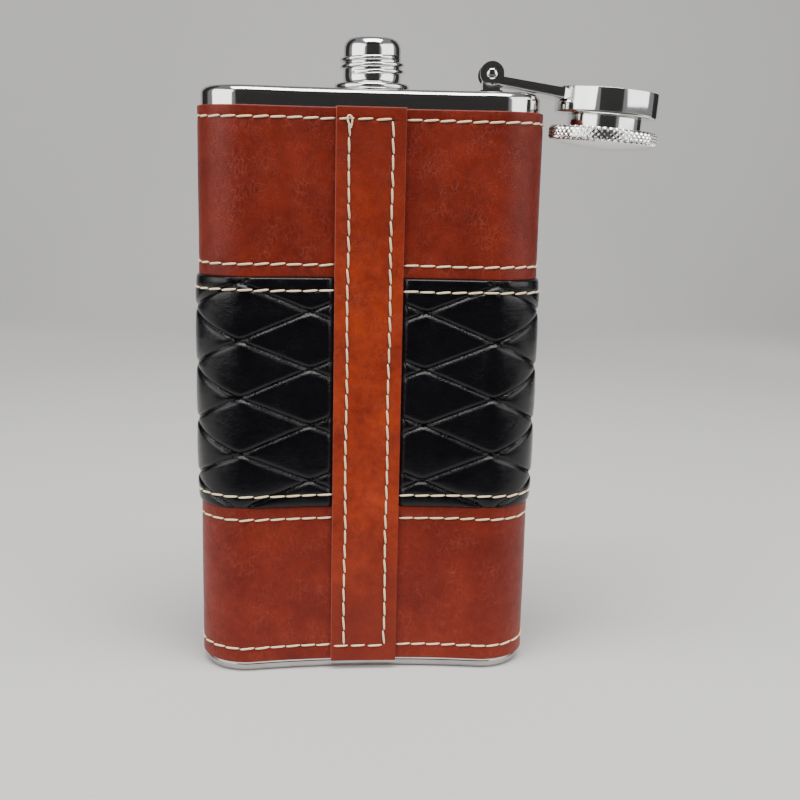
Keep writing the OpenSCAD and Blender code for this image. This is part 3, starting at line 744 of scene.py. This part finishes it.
pyramid = np.minimum(sawtooth(step_round + step_up), sawtooth(step_round - step_up))
pyramid = np.clip(pyramid * 1.35, 0, 1)
chamfer = np.clip(np.minimum(height - band_low, band_high - height) / (0.3 * MM), 0, 1)
depth = 0.62 * MM * (1 - pyramid) + 0.3 * MM * (1 - chamfer)
radius -= np.where(np.abs(radius - HEAD_R) < 1e-7, depth, 0)
revolve("head_steel", radius, height, cap_place, turned_steel, "screw_cap", ["knurled_head"], "steel",
        sharp=30)
gasket_r = SLEEVE_BORE - 0.03 * MM
r = [0, gasket_r - 0.1 * MM, gasket_r, gasket_r, gasket_r - 0.1 * MM, 0]
z = HEAD_Z + np.array([0, 0, 0.1 * MM, GASKET_T - 0.1 * MM, GASKET_T, GASKET_T])
revolve("seal_rubber", r, z, cap_place, rubber_mat, "screw_cap", ["cap_gasket"], "gasket")

# %% [markdown]
# ## Rows of stitches
# The sewing machine makes one stitch about every 4 mm. The rows decide where the leather is pulled
# down, so they are laid out before the leather: a place, a direction and an outward direction for
# each stitch.

# %% Lay out the stitches
BAND_Z0, BAND_Z1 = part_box("quilted_panel")[0].z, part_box("quilted_panel")[1].z
WRAP_Z0, WRAP_Z1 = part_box("backing_cloth")[0].z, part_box("backing_cloth")[1].z
strap_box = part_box("seam_strap")
STRAP_HALF = 8.95 * MM
BROWN_OUT, BLACK_OUT, STRAP_OUT = 0.9 * MM, 1.7 * MM, 2.1 * MM
COLUMN = 5.55 * MM
PACE, STITCH, THREAD_D = 4.15 * MM, 4.0 * MM, 0.56 * MM
ROW_TOP, ROW_UPPER = WRAP_Z1 - 2.8 * MM, BAND_Z1 + 3.3 * MM
ROW_BAND_TOP, ROW_BAND_BOTTOM = BAND_Z1 - 3.3 * MM, BAND_Z0 + 3.3 * MM
ROW_LOWER, ROW_BOTTOM = BAND_Z0 - 3.3 * MM, WRAP_Z0 + 4.1 * MM


def row_round(z, out, s0, s1, drift=0.12 * MM, seed=1):
    """Stitches at height z from s0 to s1, evenly spaced on the surface."""
    lengths = surface_length(np.array([s0, s1]), out)
    count = max(1, int(round((lengths[1] - lengths[0]) / PACE)))
    fine = np.linspace(s0, s1, 4000)
    s = np.interp((np.arange(count) + 0.5) / count * (lengths[1] - lengths[0]) + lengths[0],
                  surface_length(fine, out), fine)
    x, y, nx, ny = around(s, out)
    wobble = drift * np.sin(np.arange(count) * 0.9 + seed) * 0.6
    places = np.stack([x, y, z + wobble], 1)
    along = np.stack([-ny, nx, np.zeros(count)], 1)
    outward = np.stack([nx, ny, np.zeros(count)], 1)
    return places, along, outward


def row_up(offset, out, z0, z1):
    """Stitches up the strap at `offset` from its middle."""
    count = max(1, int(round((z1 - z0) / PACE)))
    z = z0 + (np.arange(count) + 0.5) / count * (z1 - z0)
    x, y, nx, ny = (np.repeat(v, count) for v in around(np.array([offset]), out))
    wobble = 0.10 * MM * np.sin(z * 160 + offset * 900)
    places = np.stack([x + wobble, y, z], 1)
    return places, np.tile([0.0, 0.0, 1.0], (count, 1)), np.stack([nx, ny, np.zeros(count)], 1)


def joined(*rows_of_stitches):
    return tuple(np.concatenate(part) for part in zip(*rows_of_stitches))


FAR = TOTAL - STRAP_HALF
stitch_rows = {
    "thread_top": joined(row_round(ROW_TOP, BROWN_OUT, STRAP_HALF, FAR, seed=1),
                         row_round(ROW_TOP, STRAP_OUT, -STRAP_HALF + 0.3 * MM, COLUMN)),
    "thread_upper": row_round(ROW_UPPER, BROWN_OUT, STRAP_HALF, FAR, seed=2),
    "thread_band_top": row_round(ROW_BAND_TOP, BLACK_OUT, STRAP_HALF, FAR, 0.2 * MM, seed=3),
    "thread_band_bottom": row_round(ROW_BAND_BOTTOM, BLACK_OUT, STRAP_HALF, FAR, 0.2 * MM, seed=4),
    "thread_lower": row_round(ROW_LOWER, BROWN_OUT, STRAP_HALF, FAR, seed=5),
    "thread_bottom": joined(row_round(ROW_BOTTOM, BROWN_OUT, STRAP_HALF, FAR, seed=6),
                            row_round(ROW_BOTTOM, STRAP_OUT, -STRAP_HALF + 0.3 * MM, COLUMN)),
    "thread_strap": joined(row_up(-COLUMN, STRAP_OUT, ROW_BOTTOM + 0.3 * MM, ROW_TOP - 0.3 * MM),
                           row_up(COLUMN, STRAP_OUT, ROW_BOTTOM + 0.3 * MM, ROW_TOP - 0.3 * MM)),
}
print("stitches:", {name: len(row[0]) for name, row in stitch_rows.items()})

# %% [markdown]
# ## The leather wrap
# Each panel is a sheet with a real thickness. Its face is a grid, closer near the edges and the
# stitch rows, that is pushed in where the thread pulls it down and rounded over at the edges.

# %% A sheet with real thickness
def lines_at(low, high, step, close_lines=(), close=0.22 * MM, reach=1.1 * MM, edge=0.9 * MM):
    """Grid places from low to high, closer together at both ends and near the close lines."""
    places = list(np.arange(low, high, step)) + [high]
    for line in close_lines:
        places += list(np.arange(line - reach, line + reach + 1e-9, close))
    for share in (0.05, 0.13, 0.25, 0.45, 0.7, 1.0):
        places += [low + share * edge, high - share * edge]
    places = np.unique(np.round([p for p in places if low <= p <= high], 8))
    keep = [0]
    for k in range(1, len(places) - 1):
        if places[k] - places[keep[-1]] > 0.04 * MM:
            keep.append(k)
    return np.append(places[keep], high)


def drop_at_edge(distance, edge):
    inside = np.clip(1 - distance / edge, 0, 1)
    return edge * (1 - np.sqrt(np.clip(1 - inside ** 2, 0, 1)))


def sheet_piece(name, s, z, inner, outer, edge, relief, material, nodes, slot, follow=0.0):
    """A closed sheet between two distances off the steel, over the grid of s and z."""
    gs, gz = np.meshgrid(s, z, indexing="ij")
    from_side, from_end = np.minimum(gs - s[0], s[-1] - gs), np.minimum(gz - z[0], z[-1] - gz)
    from_edge = np.minimum(from_side, from_end)
    drop = drop_at_edge(from_side, edge) + drop_at_edge(from_end, edge)
    out = outer + relief(gs, gz) - np.minimum(drop, edge)
    out = np.maximum(out, inner + 0.1 * MM)
    under = np.maximum(inner, out - follow) if follow else np.full_like(out, inner)
    rows, columns = gs.shape
    # the hidden side uses every third line of the grid
    some_s = sorted(set(range(0, rows, 3)) | {rows - 1})
    some_z = sorted(set(range(0, columns, 3)) | {columns - 1})
    few = np.ix_(some_s, some_z)
    layers = [np.stack([*around(gs, out)[:2], gz], -1).reshape(-1, 3),
              np.stack([*around(gs[few], under[few])[:2], gz[few]], -1).reshape(-1, 3)]
    count, wide = rows * columns, len(some_z)
    faces = grid_faces(rows, columns)
    faces += [[a, d, c, b] for a, b, c, d in grid_faces(len(some_s), wide, first=count)]
    for side_z, under_z in ((0, 0), (columns - 1, wide - 1)):
        for k, (a, b) in enumerate(zip(some_s, some_s[1:])):
            strip = [i * columns + side_z for i in range(a, b + 1)]
            strip += [count + (k + 1) * wide + under_z, count + k * wide + under_z]
            faces.append(strip if side_z == 0 else strip[::-1])
    for side_s, under_s in ((0, 0), (rows - 1, len(some_s) - 1)):
        for k, (a, b) in enumerate(zip(some_z, some_z[1:])):
            strip = [side_s * columns + j for j in range(a, b + 1)]
            strip += [count + under_s * wide + k + 1, count + under_s * wide + k]
            faces.append(strip[::-1] if side_s == 0 else strip)
    flat = np.concatenate([np.stack([gs, gz, out], -1).reshape(-1, 3),
                           np.stack([gs[few], gz[few], under[few]], -1).reshape(-1, 3)])
    # Marks the cut sides and underside, which the leather paints paler: raw-cut colour and painted sheen.
    cut_edge = np.concatenate([np.where(from_edge.ravel() < 0.03 * MM, 1.0, 0.0), np.ones(gs[few].size)])
    return finish_piece(name, np.concatenate(layers), faces, material, "flask", nodes, slot,
                        flat_place=flat, cut_edge=cut_edge)


print("sheets can be cut")

# %% [markdown]
# ## What thread does to leather
# A stitch pulls the leather down in a soft trough, deepest where the needle went in, and the hide
# has slow waves of its own.

# %% Troughs and waves
def pull(gs, gz, rows, out, depth=0.16 * MM):
    """How far rows of stitches pull the leather down, deepest at each needle hole."""
    result = np.zeros_like(gs)
    for z in rows:
        lengths = surface_length(np.array([STRAP_HALF, FAR]), out)
        count = round((lengths[1] - lengths[0]) / PACE)
        share = (surface_length(gs, out) - lengths[0]) / (lengths[1] - lengths[0]) * count
        hole = np.exp(-(np.abs(share - np.round(share)) * PACE / (0.5 * MM)) ** 2)
        across = np.exp(-((gz - z) / (0.55 * MM)) ** 2)
        wide = np.exp(-((gz - z) / (1.5 * MM)) ** 2)
        result -= depth * (0.5 * across + 0.35 * wide + 0.9 * across * hole)
    return result


def soft_waves(gs, gz, size, seed):
    short = np.sin(gs * 310 + seed) * np.sin(gz * 270 + 2.1 * seed)
    return size * (0.6 * short + 0.4 * np.sin(gs * 120 + gz * 190 + seed))


print("leather can be pulled down")

# %% [markdown]
# ## The two brown panels and the cloth
# The panels meet edge to edge under the strap, and the cloth that they are sewn to lies under both.

# %% Upper panel, lower panel and backing cloth
SLIT, CLOTH, PANEL_EDGE = 0.2 * MM, 0.3 * MM, 0.35 * MM
s_lines = lines_at(SLIT, TOTAL - SLIT, 0.7 * MM, edge=PANEL_EDGE)


def brown_panel(name, z0, z1, rows, seed, node):
    def relief(gs, gz):
        return pull(gs, gz, rows, BROWN_OUT) + soft_waves(gs, gz, 0.05 * MM, seed)

    sheet_piece(name, s_lines, lines_at(z0, z1, 0.8 * MM, rows, edge=PANEL_EDGE), CLOTH, BROWN_OUT,
                PANEL_EDGE, relief, brown, [node], "brown_leather")


brown_panel("upper_leather", BAND_Z1, WRAP_Z1, (ROW_UPPER, ROW_TOP), 0.4, "upper_panel")
brown_panel("lower_leather", WRAP_Z0, BAND_Z0, (ROW_LOWER, ROW_BOTTOM), 2.3, "lower_panel")
coarse = lines_at(SLIT, TOTAL - SLIT, 1.6 * MM, edge=0.1 * MM)
cloth = sheet_piece("cloth_lining", coarse, np.linspace(WRAP_Z0, WRAP_Z1, 12), 0.01 * MM,
                    CLOTH - 0.01 * MM, 0.02 * MM, lambda gs, gz: np.zeros_like(gs), cloth_mat,
                    ["backing_cloth"], "backing")

# %% [markdown]
# ## The quilted band
# Heated dies press crossing grooves into a padded band. The foam swells between them, so each diamond
# is a low pillow with steep sides, and the grooves even notch the outline at the flask's sides.

# %% Quilted band and its padding
DIAMOND_H = 15.05 * MM
FIRST_CROSS_Z = 53.8 * MM
BESIDE_STRAP = 15 * MM
band_length = surface_length(np.array([TOTAL]), BLACK_OUT)[0]
HALF_PACE = (band_length - 2 * BESIDE_STRAP) / 10


def groove_distance(gs, gz):
    """Distance to the nearest pressed groove, and how near a crossing is."""
    round_it = (surface_length(gs, BLACK_OUT) - BESIDE_STRAP) / (2 * HALF_PACE)
    up_it = (gz - FIRST_CROSS_Z) / DIAMOND_H
    slope = math.cos(math.atan(DIAMOND_H / 2 / HALF_PACE))
    rising, falling = up_it - round_it, up_it + round_it
    a = np.abs(rising - np.round(rising)) * DIAMOND_H * slope
    b = np.abs(falling - np.round(falling)) * DIAMOND_H * slope
    return np.minimum(a, b), np.hypot(a, b)


def quilt_relief(gs, gz):
    near, crossing = groove_distance(gs, gz)
    pillow = 0.30 * MM * (1 - np.exp(-(near / (2.4 * MM)) ** 1.2))
    cut = 0.62 * MM * np.exp(-(near / (0.46 * MM)) ** 1.6)
    knot = 0.30 * MM * np.exp(-(crossing / (1.1 * MM)) ** 2)
    away = np.minimum(gz - BAND_Z0, BAND_Z1 - gz)
    flatter = np.clip(1 - away / (3.6 * MM), 0, 1)
    calm = np.clip(away / (1.2 * MM), 0, 1)
    pulled = pull(gs, gz, (ROW_BAND_TOP, ROW_BAND_BOTTOM), BLACK_OUT, 0.24 * MM)
    return (pillow - cut - knot) * (0.3 + 0.7 * calm) - 0.45 * MM * flatter ** 0.7 + pulled


band_s = lines_at(SLIT, TOTAL - SLIT, 0.46 * MM, edge=0.5 * MM)
band_z = lines_at(BAND_Z0, BAND_Z1, 0.40 * MM, (ROW_BAND_TOP, ROW_BAND_BOTTOM), close=0.28 * MM,
                  reach=0.8 * MM, edge=0.5 * MM)


def band_relief(gs, gz):
    beside = np.minimum(gs, TOTAL - gs)
    share = np.clip((beside - STRAP_HALF + 0.2 * MM) / (1.6 * MM), 0, 1)
    share = share * share * (3 - 2 * share)
    return quilt_relief(gs, gz) * share - (BLACK_OUT - BROWN_OUT) * (1 - share)


band = sheet_piece("quilted_leather", band_s, band_z, CLOTH, BLACK_OUT, 0.5 * MM, band_relief, black,
                   ["quilted_panel"], "black_leather", follow=0.6 * MM)
pad_s = lines_at(STRAP_HALF + 1.6 * MM, TOTAL - STRAP_HALF - 1.6 * MM, 1.3 * MM, edge=0.3 * MM)
pad_z = lines_at(BAND_Z0 + 0.7 * MM, BAND_Z1 - 0.7 * MM, 1.3 * MM, edge=0.3 * MM)
foam = sheet_piece("foam_padding", pad_s, pad_z, CLOTH + 0.01 * MM, BLACK_OUT - 0.66 * MM, 0.25 * MM,
                   lambda gs, gz: quilt_relief(gs, gz) - 0.05 * MM, foam_mat, ["quilt_padding"], "padding")

# %% [markdown]
# ## The strap
# A thicker strip covers the joint in the wrap. It is sewn through everything, so it stands up beside
# the thread and dips along it, and its cut sides show.

# %% Strap
def strap_relief(gs, gz):
    result = np.zeros_like(gs)
    inside = (gz > ROW_BOTTOM) & (gz < ROW_TOP)
    count = round((ROW_TOP - ROW_BOTTOM - 0.6 * MM) / PACE)
    share = (gz - ROW_BOTTOM - 0.3 * MM) / (ROW_TOP - ROW_BOTTOM - 0.6 * MM) * count
    hole = np.exp(-(np.abs(share - np.round(share)) * PACE / (0.5 * MM)) ** 2)
    for column in (-COLUMN, COLUMN):
        across = np.exp(-((gs - column) / (0.5 * MM)) ** 2)
        wide = np.exp(-((gs - column) / (1.7 * MM)) ** 2)
        result -= np.where(inside, 0.10 * MM * across + 0.12 * MM * wide + 0.16 * MM * across * hole, 0)
    for z in (ROW_BOTTOM, ROW_TOP):
        result -= 0.14 * MM * np.exp(-((gz - z) / (0.6 * MM)) ** 2) * (gs < COLUMN + 0.4 * MM)
    return result + soft_waves(gs, gz, 0.05 * MM, 1.1)


strap_s = lines_at(-STRAP_HALF, STRAP_HALF, 0.6 * MM, (-COLUMN, COLUMN), edge=0.35 * MM)
strap_z = lines_at(strap_box[0].z, strap_box[1].z, 0.75 * MM, (ROW_BOTTOM, ROW_TOP), edge=0.35 * MM)
sheet_piece("strap_leather", strap_s, strap_z, BROWN_OUT, STRAP_OUT, 0.3 * MM, strap_relief, tan_strap,
            ["seam_strap"], "strap_leather")

# %% [markdown]
# ## One stitch, many times
# Every stitch is the same short grain of thread, so Geometry Nodes puts one low shape on each point
# and turns it along its row. Its ends bow down into the leather, where the needle took them.

# %% Geometry Nodes stitch tree
def stitch_shape(tree, given):
    """One stitch: a blunt grain along X, whose ends bow down."""
    half, thin = (times(tree, given[name], 0.5) for name in ("Stitch length", "Thread thickness"))
    grain = put(tree, "GeometryNodeMeshUVSphere", {"Segments": 8, "Rings": 7, "Radius": 1.0})
    turned = put(tree, "GeometryNodeTransform", {"Geometry": grain.outputs["Mesh"],
                                                 "Rotation": (0, math.pi / 2, 0)})
    spot = put(tree, "GeometryNodeInputPosition").outputs["Position"]
    x, y, z = put(tree, "ShaderNodeSeparateXYZ", {"Vector": spot}).outputs
    blunt = maths(tree, "POWER", maths(tree, "ABSOLUTE", x), 0.45)
    along = times(tree, maths(tree, "SIGN", x), blunt)
    bow = times(tree, maths(tree, "POWER", maths(tree, "ABSOLUTE", along), 2.6), given["Bow"])
    moved = put(tree, "ShaderNodeCombineXYZ", {"X": times(tree, along, half), "Y": times(tree, y, thin),
                                               "Z": maths(tree, "SUBTRACT", times(tree, z, thin), bow)})
    shaped = put(tree, "GeometryNodeSetPosition", {"Geometry": turned.outputs["Geometry"],
                                                   "Position": moved.outputs["Vector"]})
    place = put(tree, "GeometryNodeInputPosition").outputs[0]
    return put(tree, "GeometryNodeStoreNamedAttribute",
               {"Geometry": shaped.outputs["Geometry"], "Name": "stitch_place", "Value": place},
               data_type="FLOAT_VECTOR", domain="POINT").outputs["Geometry"]


def stitch_tree():
    tree = bpy.data.node_groups.new("Stitch rows", "GeometryNodeTree")
    face = tree.interface
    face.new_socket(name="Geometry", in_out="INPUT", socket_type="NodeSocketGeometry")
    for name, kind, value in (("Stitch length", "Float", STITCH), ("Thread thickness", "Float", THREAD_D),
                              ("Bow", "Float", 0.3 * MM), ("Slant", "Float", 0.07),
                              ("Unevenness", "Float", 0.05), ("Seed", "Int", 1)):
        face.new_socket(name=name, in_out="INPUT", socket_type="NodeSocket" + kind).default_value = value
    face.new_socket(name="Material", in_out="INPUT", socket_type="NodeSocketMaterial")
    face.new_socket(name="Geometry", in_out="OUTPUT", socket_type="NodeSocketGeometry")
    given = tree.nodes.new("NodeGroupInput").outputs
    stitch = stitch_shape(tree, given)
    along, outward = (put(tree, "GeometryNodeInputNamedAttribute", {"Name": name},
                          data_type="FLOAT_VECTOR").outputs["Attribute"]
                      for name in ("row_along", "row_outward"))
    aim = put(tree, "FunctionNodeAlignRotationToVector", {"Vector": along}, axis="X").outputs[0]
    aim = put(tree, "FunctionNodeAlignRotationToVector", {"Rotation": aim, "Vector": outward}, axis="Z",
              pivot_axis="X").outputs[0]
    copies = put(tree, "GeometryNodeInstanceOnPoints", {"Points": given["Geometry"], "Instance": stitch,
                                                        "Rotation": aim}).outputs["Instances"]
    chance = put(tree, "FunctionNodeRandomValue", {"Min": (-1, -1, -1), "Max": (1, 1, 1),
                                                   "Seed": given["Seed"]}, data_type="FLOAT_VECTOR")
    parts = put(tree, "ShaderNodeSeparateXYZ", {"Vector": chance.outputs[0]}).outputs
    uneven = given["Unevenness"]
    lean = plus(tree, given["Slant"], times(tree, parts["Z"], uneven))
    nod = times(tree, parts["Y"], times(tree, uneven, 0.4))
    turn = put(tree, "ShaderNodeCombineXYZ", {"Y": nod, "Z": lean}).outputs["Vector"]
    leaned = put(tree, "GeometryNodeRotateInstances", {"Instances": copies, "Rotation": turn})
    real = put(tree, "GeometryNodeRealizeInstances", {"Geometry": leaned.outputs["Instances"]})
    painted = put(tree, "GeometryNodeSetMaterial", {"Geometry": real.outputs["Geometry"],
                                                    "Material": given["Material"]})
    put(tree, "NodeGroupOutput", {"Geometry": painted.outputs["Geometry"]})
    return tree


stitches = stitch_tree()
stitch_inputs = {item.name: item.identifier for item in stitches.interface.items_tree
                 if item.in_out == "INPUT"}
print("stitch inputs:", sorted(stitch_inputs))

# %% [markdown]
# ## Sewing the rows
# Each row gets its points, the direction it runs in and the direction out of the leather. The tree
# then sews it, and the result is kept as one plain mesh for each row.

# %% Sew the rows
SINK = 0.08 * MM


def sew(node, row, seed):
    places, along, outward = row
    mesh = bpy.data.meshes.new(node + "_points")
    mesh.from_pydata((places + outward * SINK).tolist(), [], [])
    mesh.attributes.new("row_along", "FLOAT_VECTOR", "POINT").data.foreach_set("vector", along.ravel())
    mesh.attributes.new("row_outward", "FLOAT_VECTOR", "POINT").data.foreach_set("vector", outward.ravel())
    holder = bpy.data.objects.new(node + "_rows", mesh)
    bpy.context.scene.collection.objects.link(holder)
    modifier = holder.modifiers.new("Stitch rows", "NODES")
    modifier.node_group = stitches
    modifier[stitch_inputs["Seed"]] = seed
    modifier[stitch_inputs["Material"]] = thread_mat
    bpy.context.view_layer.update()
    plain = bpy.data.meshes.new_from_object(holder.evaluated_get(bpy.context.evaluated_depsgraph_get()))
    holder.modifiers.remove(modifier)
    bpy.data.objects.remove(holder)
    return finish_mesh(node + "_stitches", plain, thread_mat, "flask", [node], 80)


for seed, (node, row) in enumerate(stitch_rows.items(), 3):
    sew(node, row, seed)

# %% [markdown]
# ## The thread's tail
# Where the top row meets the strap's left row, the thread ends in a small loop that was pulled tight.

# %% Loop of thread at the strap's corner
def tube(name, path, radius, material, body, nodes, slot, sides=10):
    path = np.asarray(path, float)
    ahead = np.gradient(path, axis=0)
    ahead /= np.linalg.norm(ahead, axis=1)[:, None]
    side = np.cross(ahead, [0, 1, 0])
    side /= np.linalg.norm(side, axis=1)[:, None]
    up = np.cross(side, ahead)
    turn = np.linspace(0, 2 * math.pi, sides, endpoint=False)
    across = np.cos(turn)[None, :, None] * side[:, None]
    rings = path[:, None] + radius * (across + np.sin(turn)[None, :, None] * up[:, None])
    faces = grid_faces(len(path), sides, wrap_columns=True)
    faces += [list(range(sides))[::-1], [(len(path) - 1) * sides + k for k in range(sides)]]
    local = np.repeat(np.linspace(0, 6 * MM, len(path)), sides)
    local = np.stack([local, np.zeros_like(local), np.zeros_like(local)], 1)
    return finish_piece(name, rings.reshape(-1, 3), faces, material, body, nodes, slot, stitch_place=local)


corner_x, corner_y = (v[0] for v in around(np.array([-COLUMN]), STRAP_OUT + 0.1 * MM)[:2])
t = np.linspace(0.12, 2 * math.pi - 0.12, 44)
drop = 0.82 * MM * np.sin(t) * np.abs(np.sin(t / 2)) ** 1.4
fall = 1.55 * MM * np.cos(t)
stands_out = 0.10 * MM + 0.12 * MM * (1 - np.cos(t))
loop = np.stack([corner_x + drop + 0.12 * fall + 0.1 * MM, corner_y - stands_out,
                 ROW_TOP - 0.75 * MM - fall], 1)
tube("thread_loop", loop, 0.23 * MM, thread_mat, "flask", [], "thread")

# %% [markdown]
# ## Setting it down
# A pale floor runs up behind the flask as a seamless sweep. Polished steel shows whatever is around
# it, so dark cards stand out of view to give its curves their dark streaks.

# %% Floor and cards
floor_mat, tree, shader = new_material("Pale floor")
grain = noise(tree, object_place(tree), 900.0, 2.0)
feed(tree, shader.inputs["Base Color"], mix_colour(tree, grain, (0.60, 0.59, 0.58), (0.66, 0.65, 0.64)))
shader.inputs["Roughness"].default_value = 0.8
sweep = [(-1.2, 0.0), (0.7, 0.0)] + [(0.7 + 0.5 * math.sin(t), 0.5 - 0.5 * math.cos(t))
                                     for t in np.radians(np.linspace(8, 90, 12))] + [(1.2, 2.2)]
points = [(x, y, z) for x in (-2.2, 2.2) for y, z in sweep]
mesh = bpy.data.meshes.new("floor")
mesh.from_pydata(points, [], grid_faces(2, len(sweep)))
mesh.polygons.foreach_set("use_smooth", [True] * len(mesh.polygons))
mesh.materials.append(floor_mat)
floor = bpy.data.objects.new("floor", mesh)
bpy.context.scene.collection.objects.link(floor)


def card(name, middle, width, height, towards, shade):
    material, tree, shader = new_material(name)
    feed(tree, shader.inputs["Base Color"], (shade, shade, shade))
    shader.inputs["Roughness"].default_value = 0.9
    mesh = bpy.data.meshes.new(name)
    w, h = width / 2, height / 2
    mesh.from_pydata([(-w, -h, 0), (w, -h, 0), (w, h, 0), (-w, h, 0)], [], [(0, 1, 2, 3)])
    mesh.materials.append(material)
    piece = bpy.data.objects.new(name, mesh)
    piece.location = middle
    piece.rotation_euler = (Vector(towards) - Vector(middle)).to_track_quat("Z", "Y").to_euler()
    bpy.context.scene.collection.objects.link(piece)


card("dark_card_left", (-0.42, 0.26, 0.25), 0.26, 0.8, (0, 0, 0.15), 0.012)
card("dark_card_right", (0.46, 0.26, 0.25), 0.26, 0.8, (0, 0, 0.15), 0.012)
card("dark_card_front", (0.0, -0.95, 0.62), 0.95, 1.25, (0, 0, 0.5), 0.022)
card("dark_card_low", (0.0, -0.42, 0.012), 1.3, 0.6, (0.0, -0.42, 1.0), 0.03)
print("stage:", floor.name, "and four dark cards")

# %% [markdown]
# ## Lights
# A broad light hangs over the front, and two wide windows stand at the sides. The windows give the
# neck and the cup their bright bands, and the dark card in front leaves the dark one between.

# %% Lights and surroundings
def soft_light(name, place, towards, size, power, colour=(1, 1, 1)):
    light = bpy.data.lights.new(name, "AREA")
    light.shape, light.size, light.size_y = "RECTANGLE", size[0], size[1]
    light.energy, light.color = power, colour
    holder = bpy.data.objects.new(name, light)
    holder.location = place
    holder.rotation_euler = (Vector(towards) - Vector(place)).to_track_quat("-Z", "Y").to_euler()
    bpy.context.scene.collection.objects.link(holder)


soft_light("overhead", (0.0, -0.32, 1.05), (0, 0, 0.1), (0.9, 0.55), 16.5, (1.0, 0.99, 0.97))
soft_light("window_left", (-0.80, -0.42, 0.42), (0, 0, 0.12), (1.0, 0.62), 7.0)
soft_light("window_right", (0.80, -0.42, 0.42), (0, 0, 0.12), (1.0, 0.62), 6.2)
world = bpy.data.worlds.new("Studio")
bpy.context.scene.world = world
world.use_nodes = True
world.node_tree.nodes["Background"].inputs["Color"].default_value = (0.94, 0.96, 1.0, 1)
world.node_tree.nodes["Background"].inputs["Strength"].default_value = 0.28
print("lights:", [light.name for light in bpy.data.lights])

# %% [markdown]
# ## Camera
# The camera stands close and a little high, turned slightly, so the flask narrows towards its base.

# %% Camera
camera_data = bpy.data.cameras.new("camera")
camera_data.sensor_width, camera_data.lens = 36.0, 50.742
camera_data.clip_start = 0.01
camera = bpy.data.objects.new("camera", camera_data)
yaw_turn = Matrix.Rotation(math.radians(-4.818), 3, "Z")
pitch_turn = Matrix.Rotation(math.radians(-11.255), 3, "X")
roll_turn = Matrix.Rotation(math.radians(-1.242), 3, "Y")
facing = yaw_turn @ pitch_turn @ roll_turn @ Matrix.Rotation(math.pi / 2, 3, "X")
camera.matrix_world = Matrix.Translation((-0.0165, -0.30448, 0.1340)) @ facing.to_4x4()
bpy.context.scene.collection.objects.link(camera)
bpy.context.scene.camera = camera
print("camera looks along", tuple(round(v, 3) for v in -facing.col[2]))
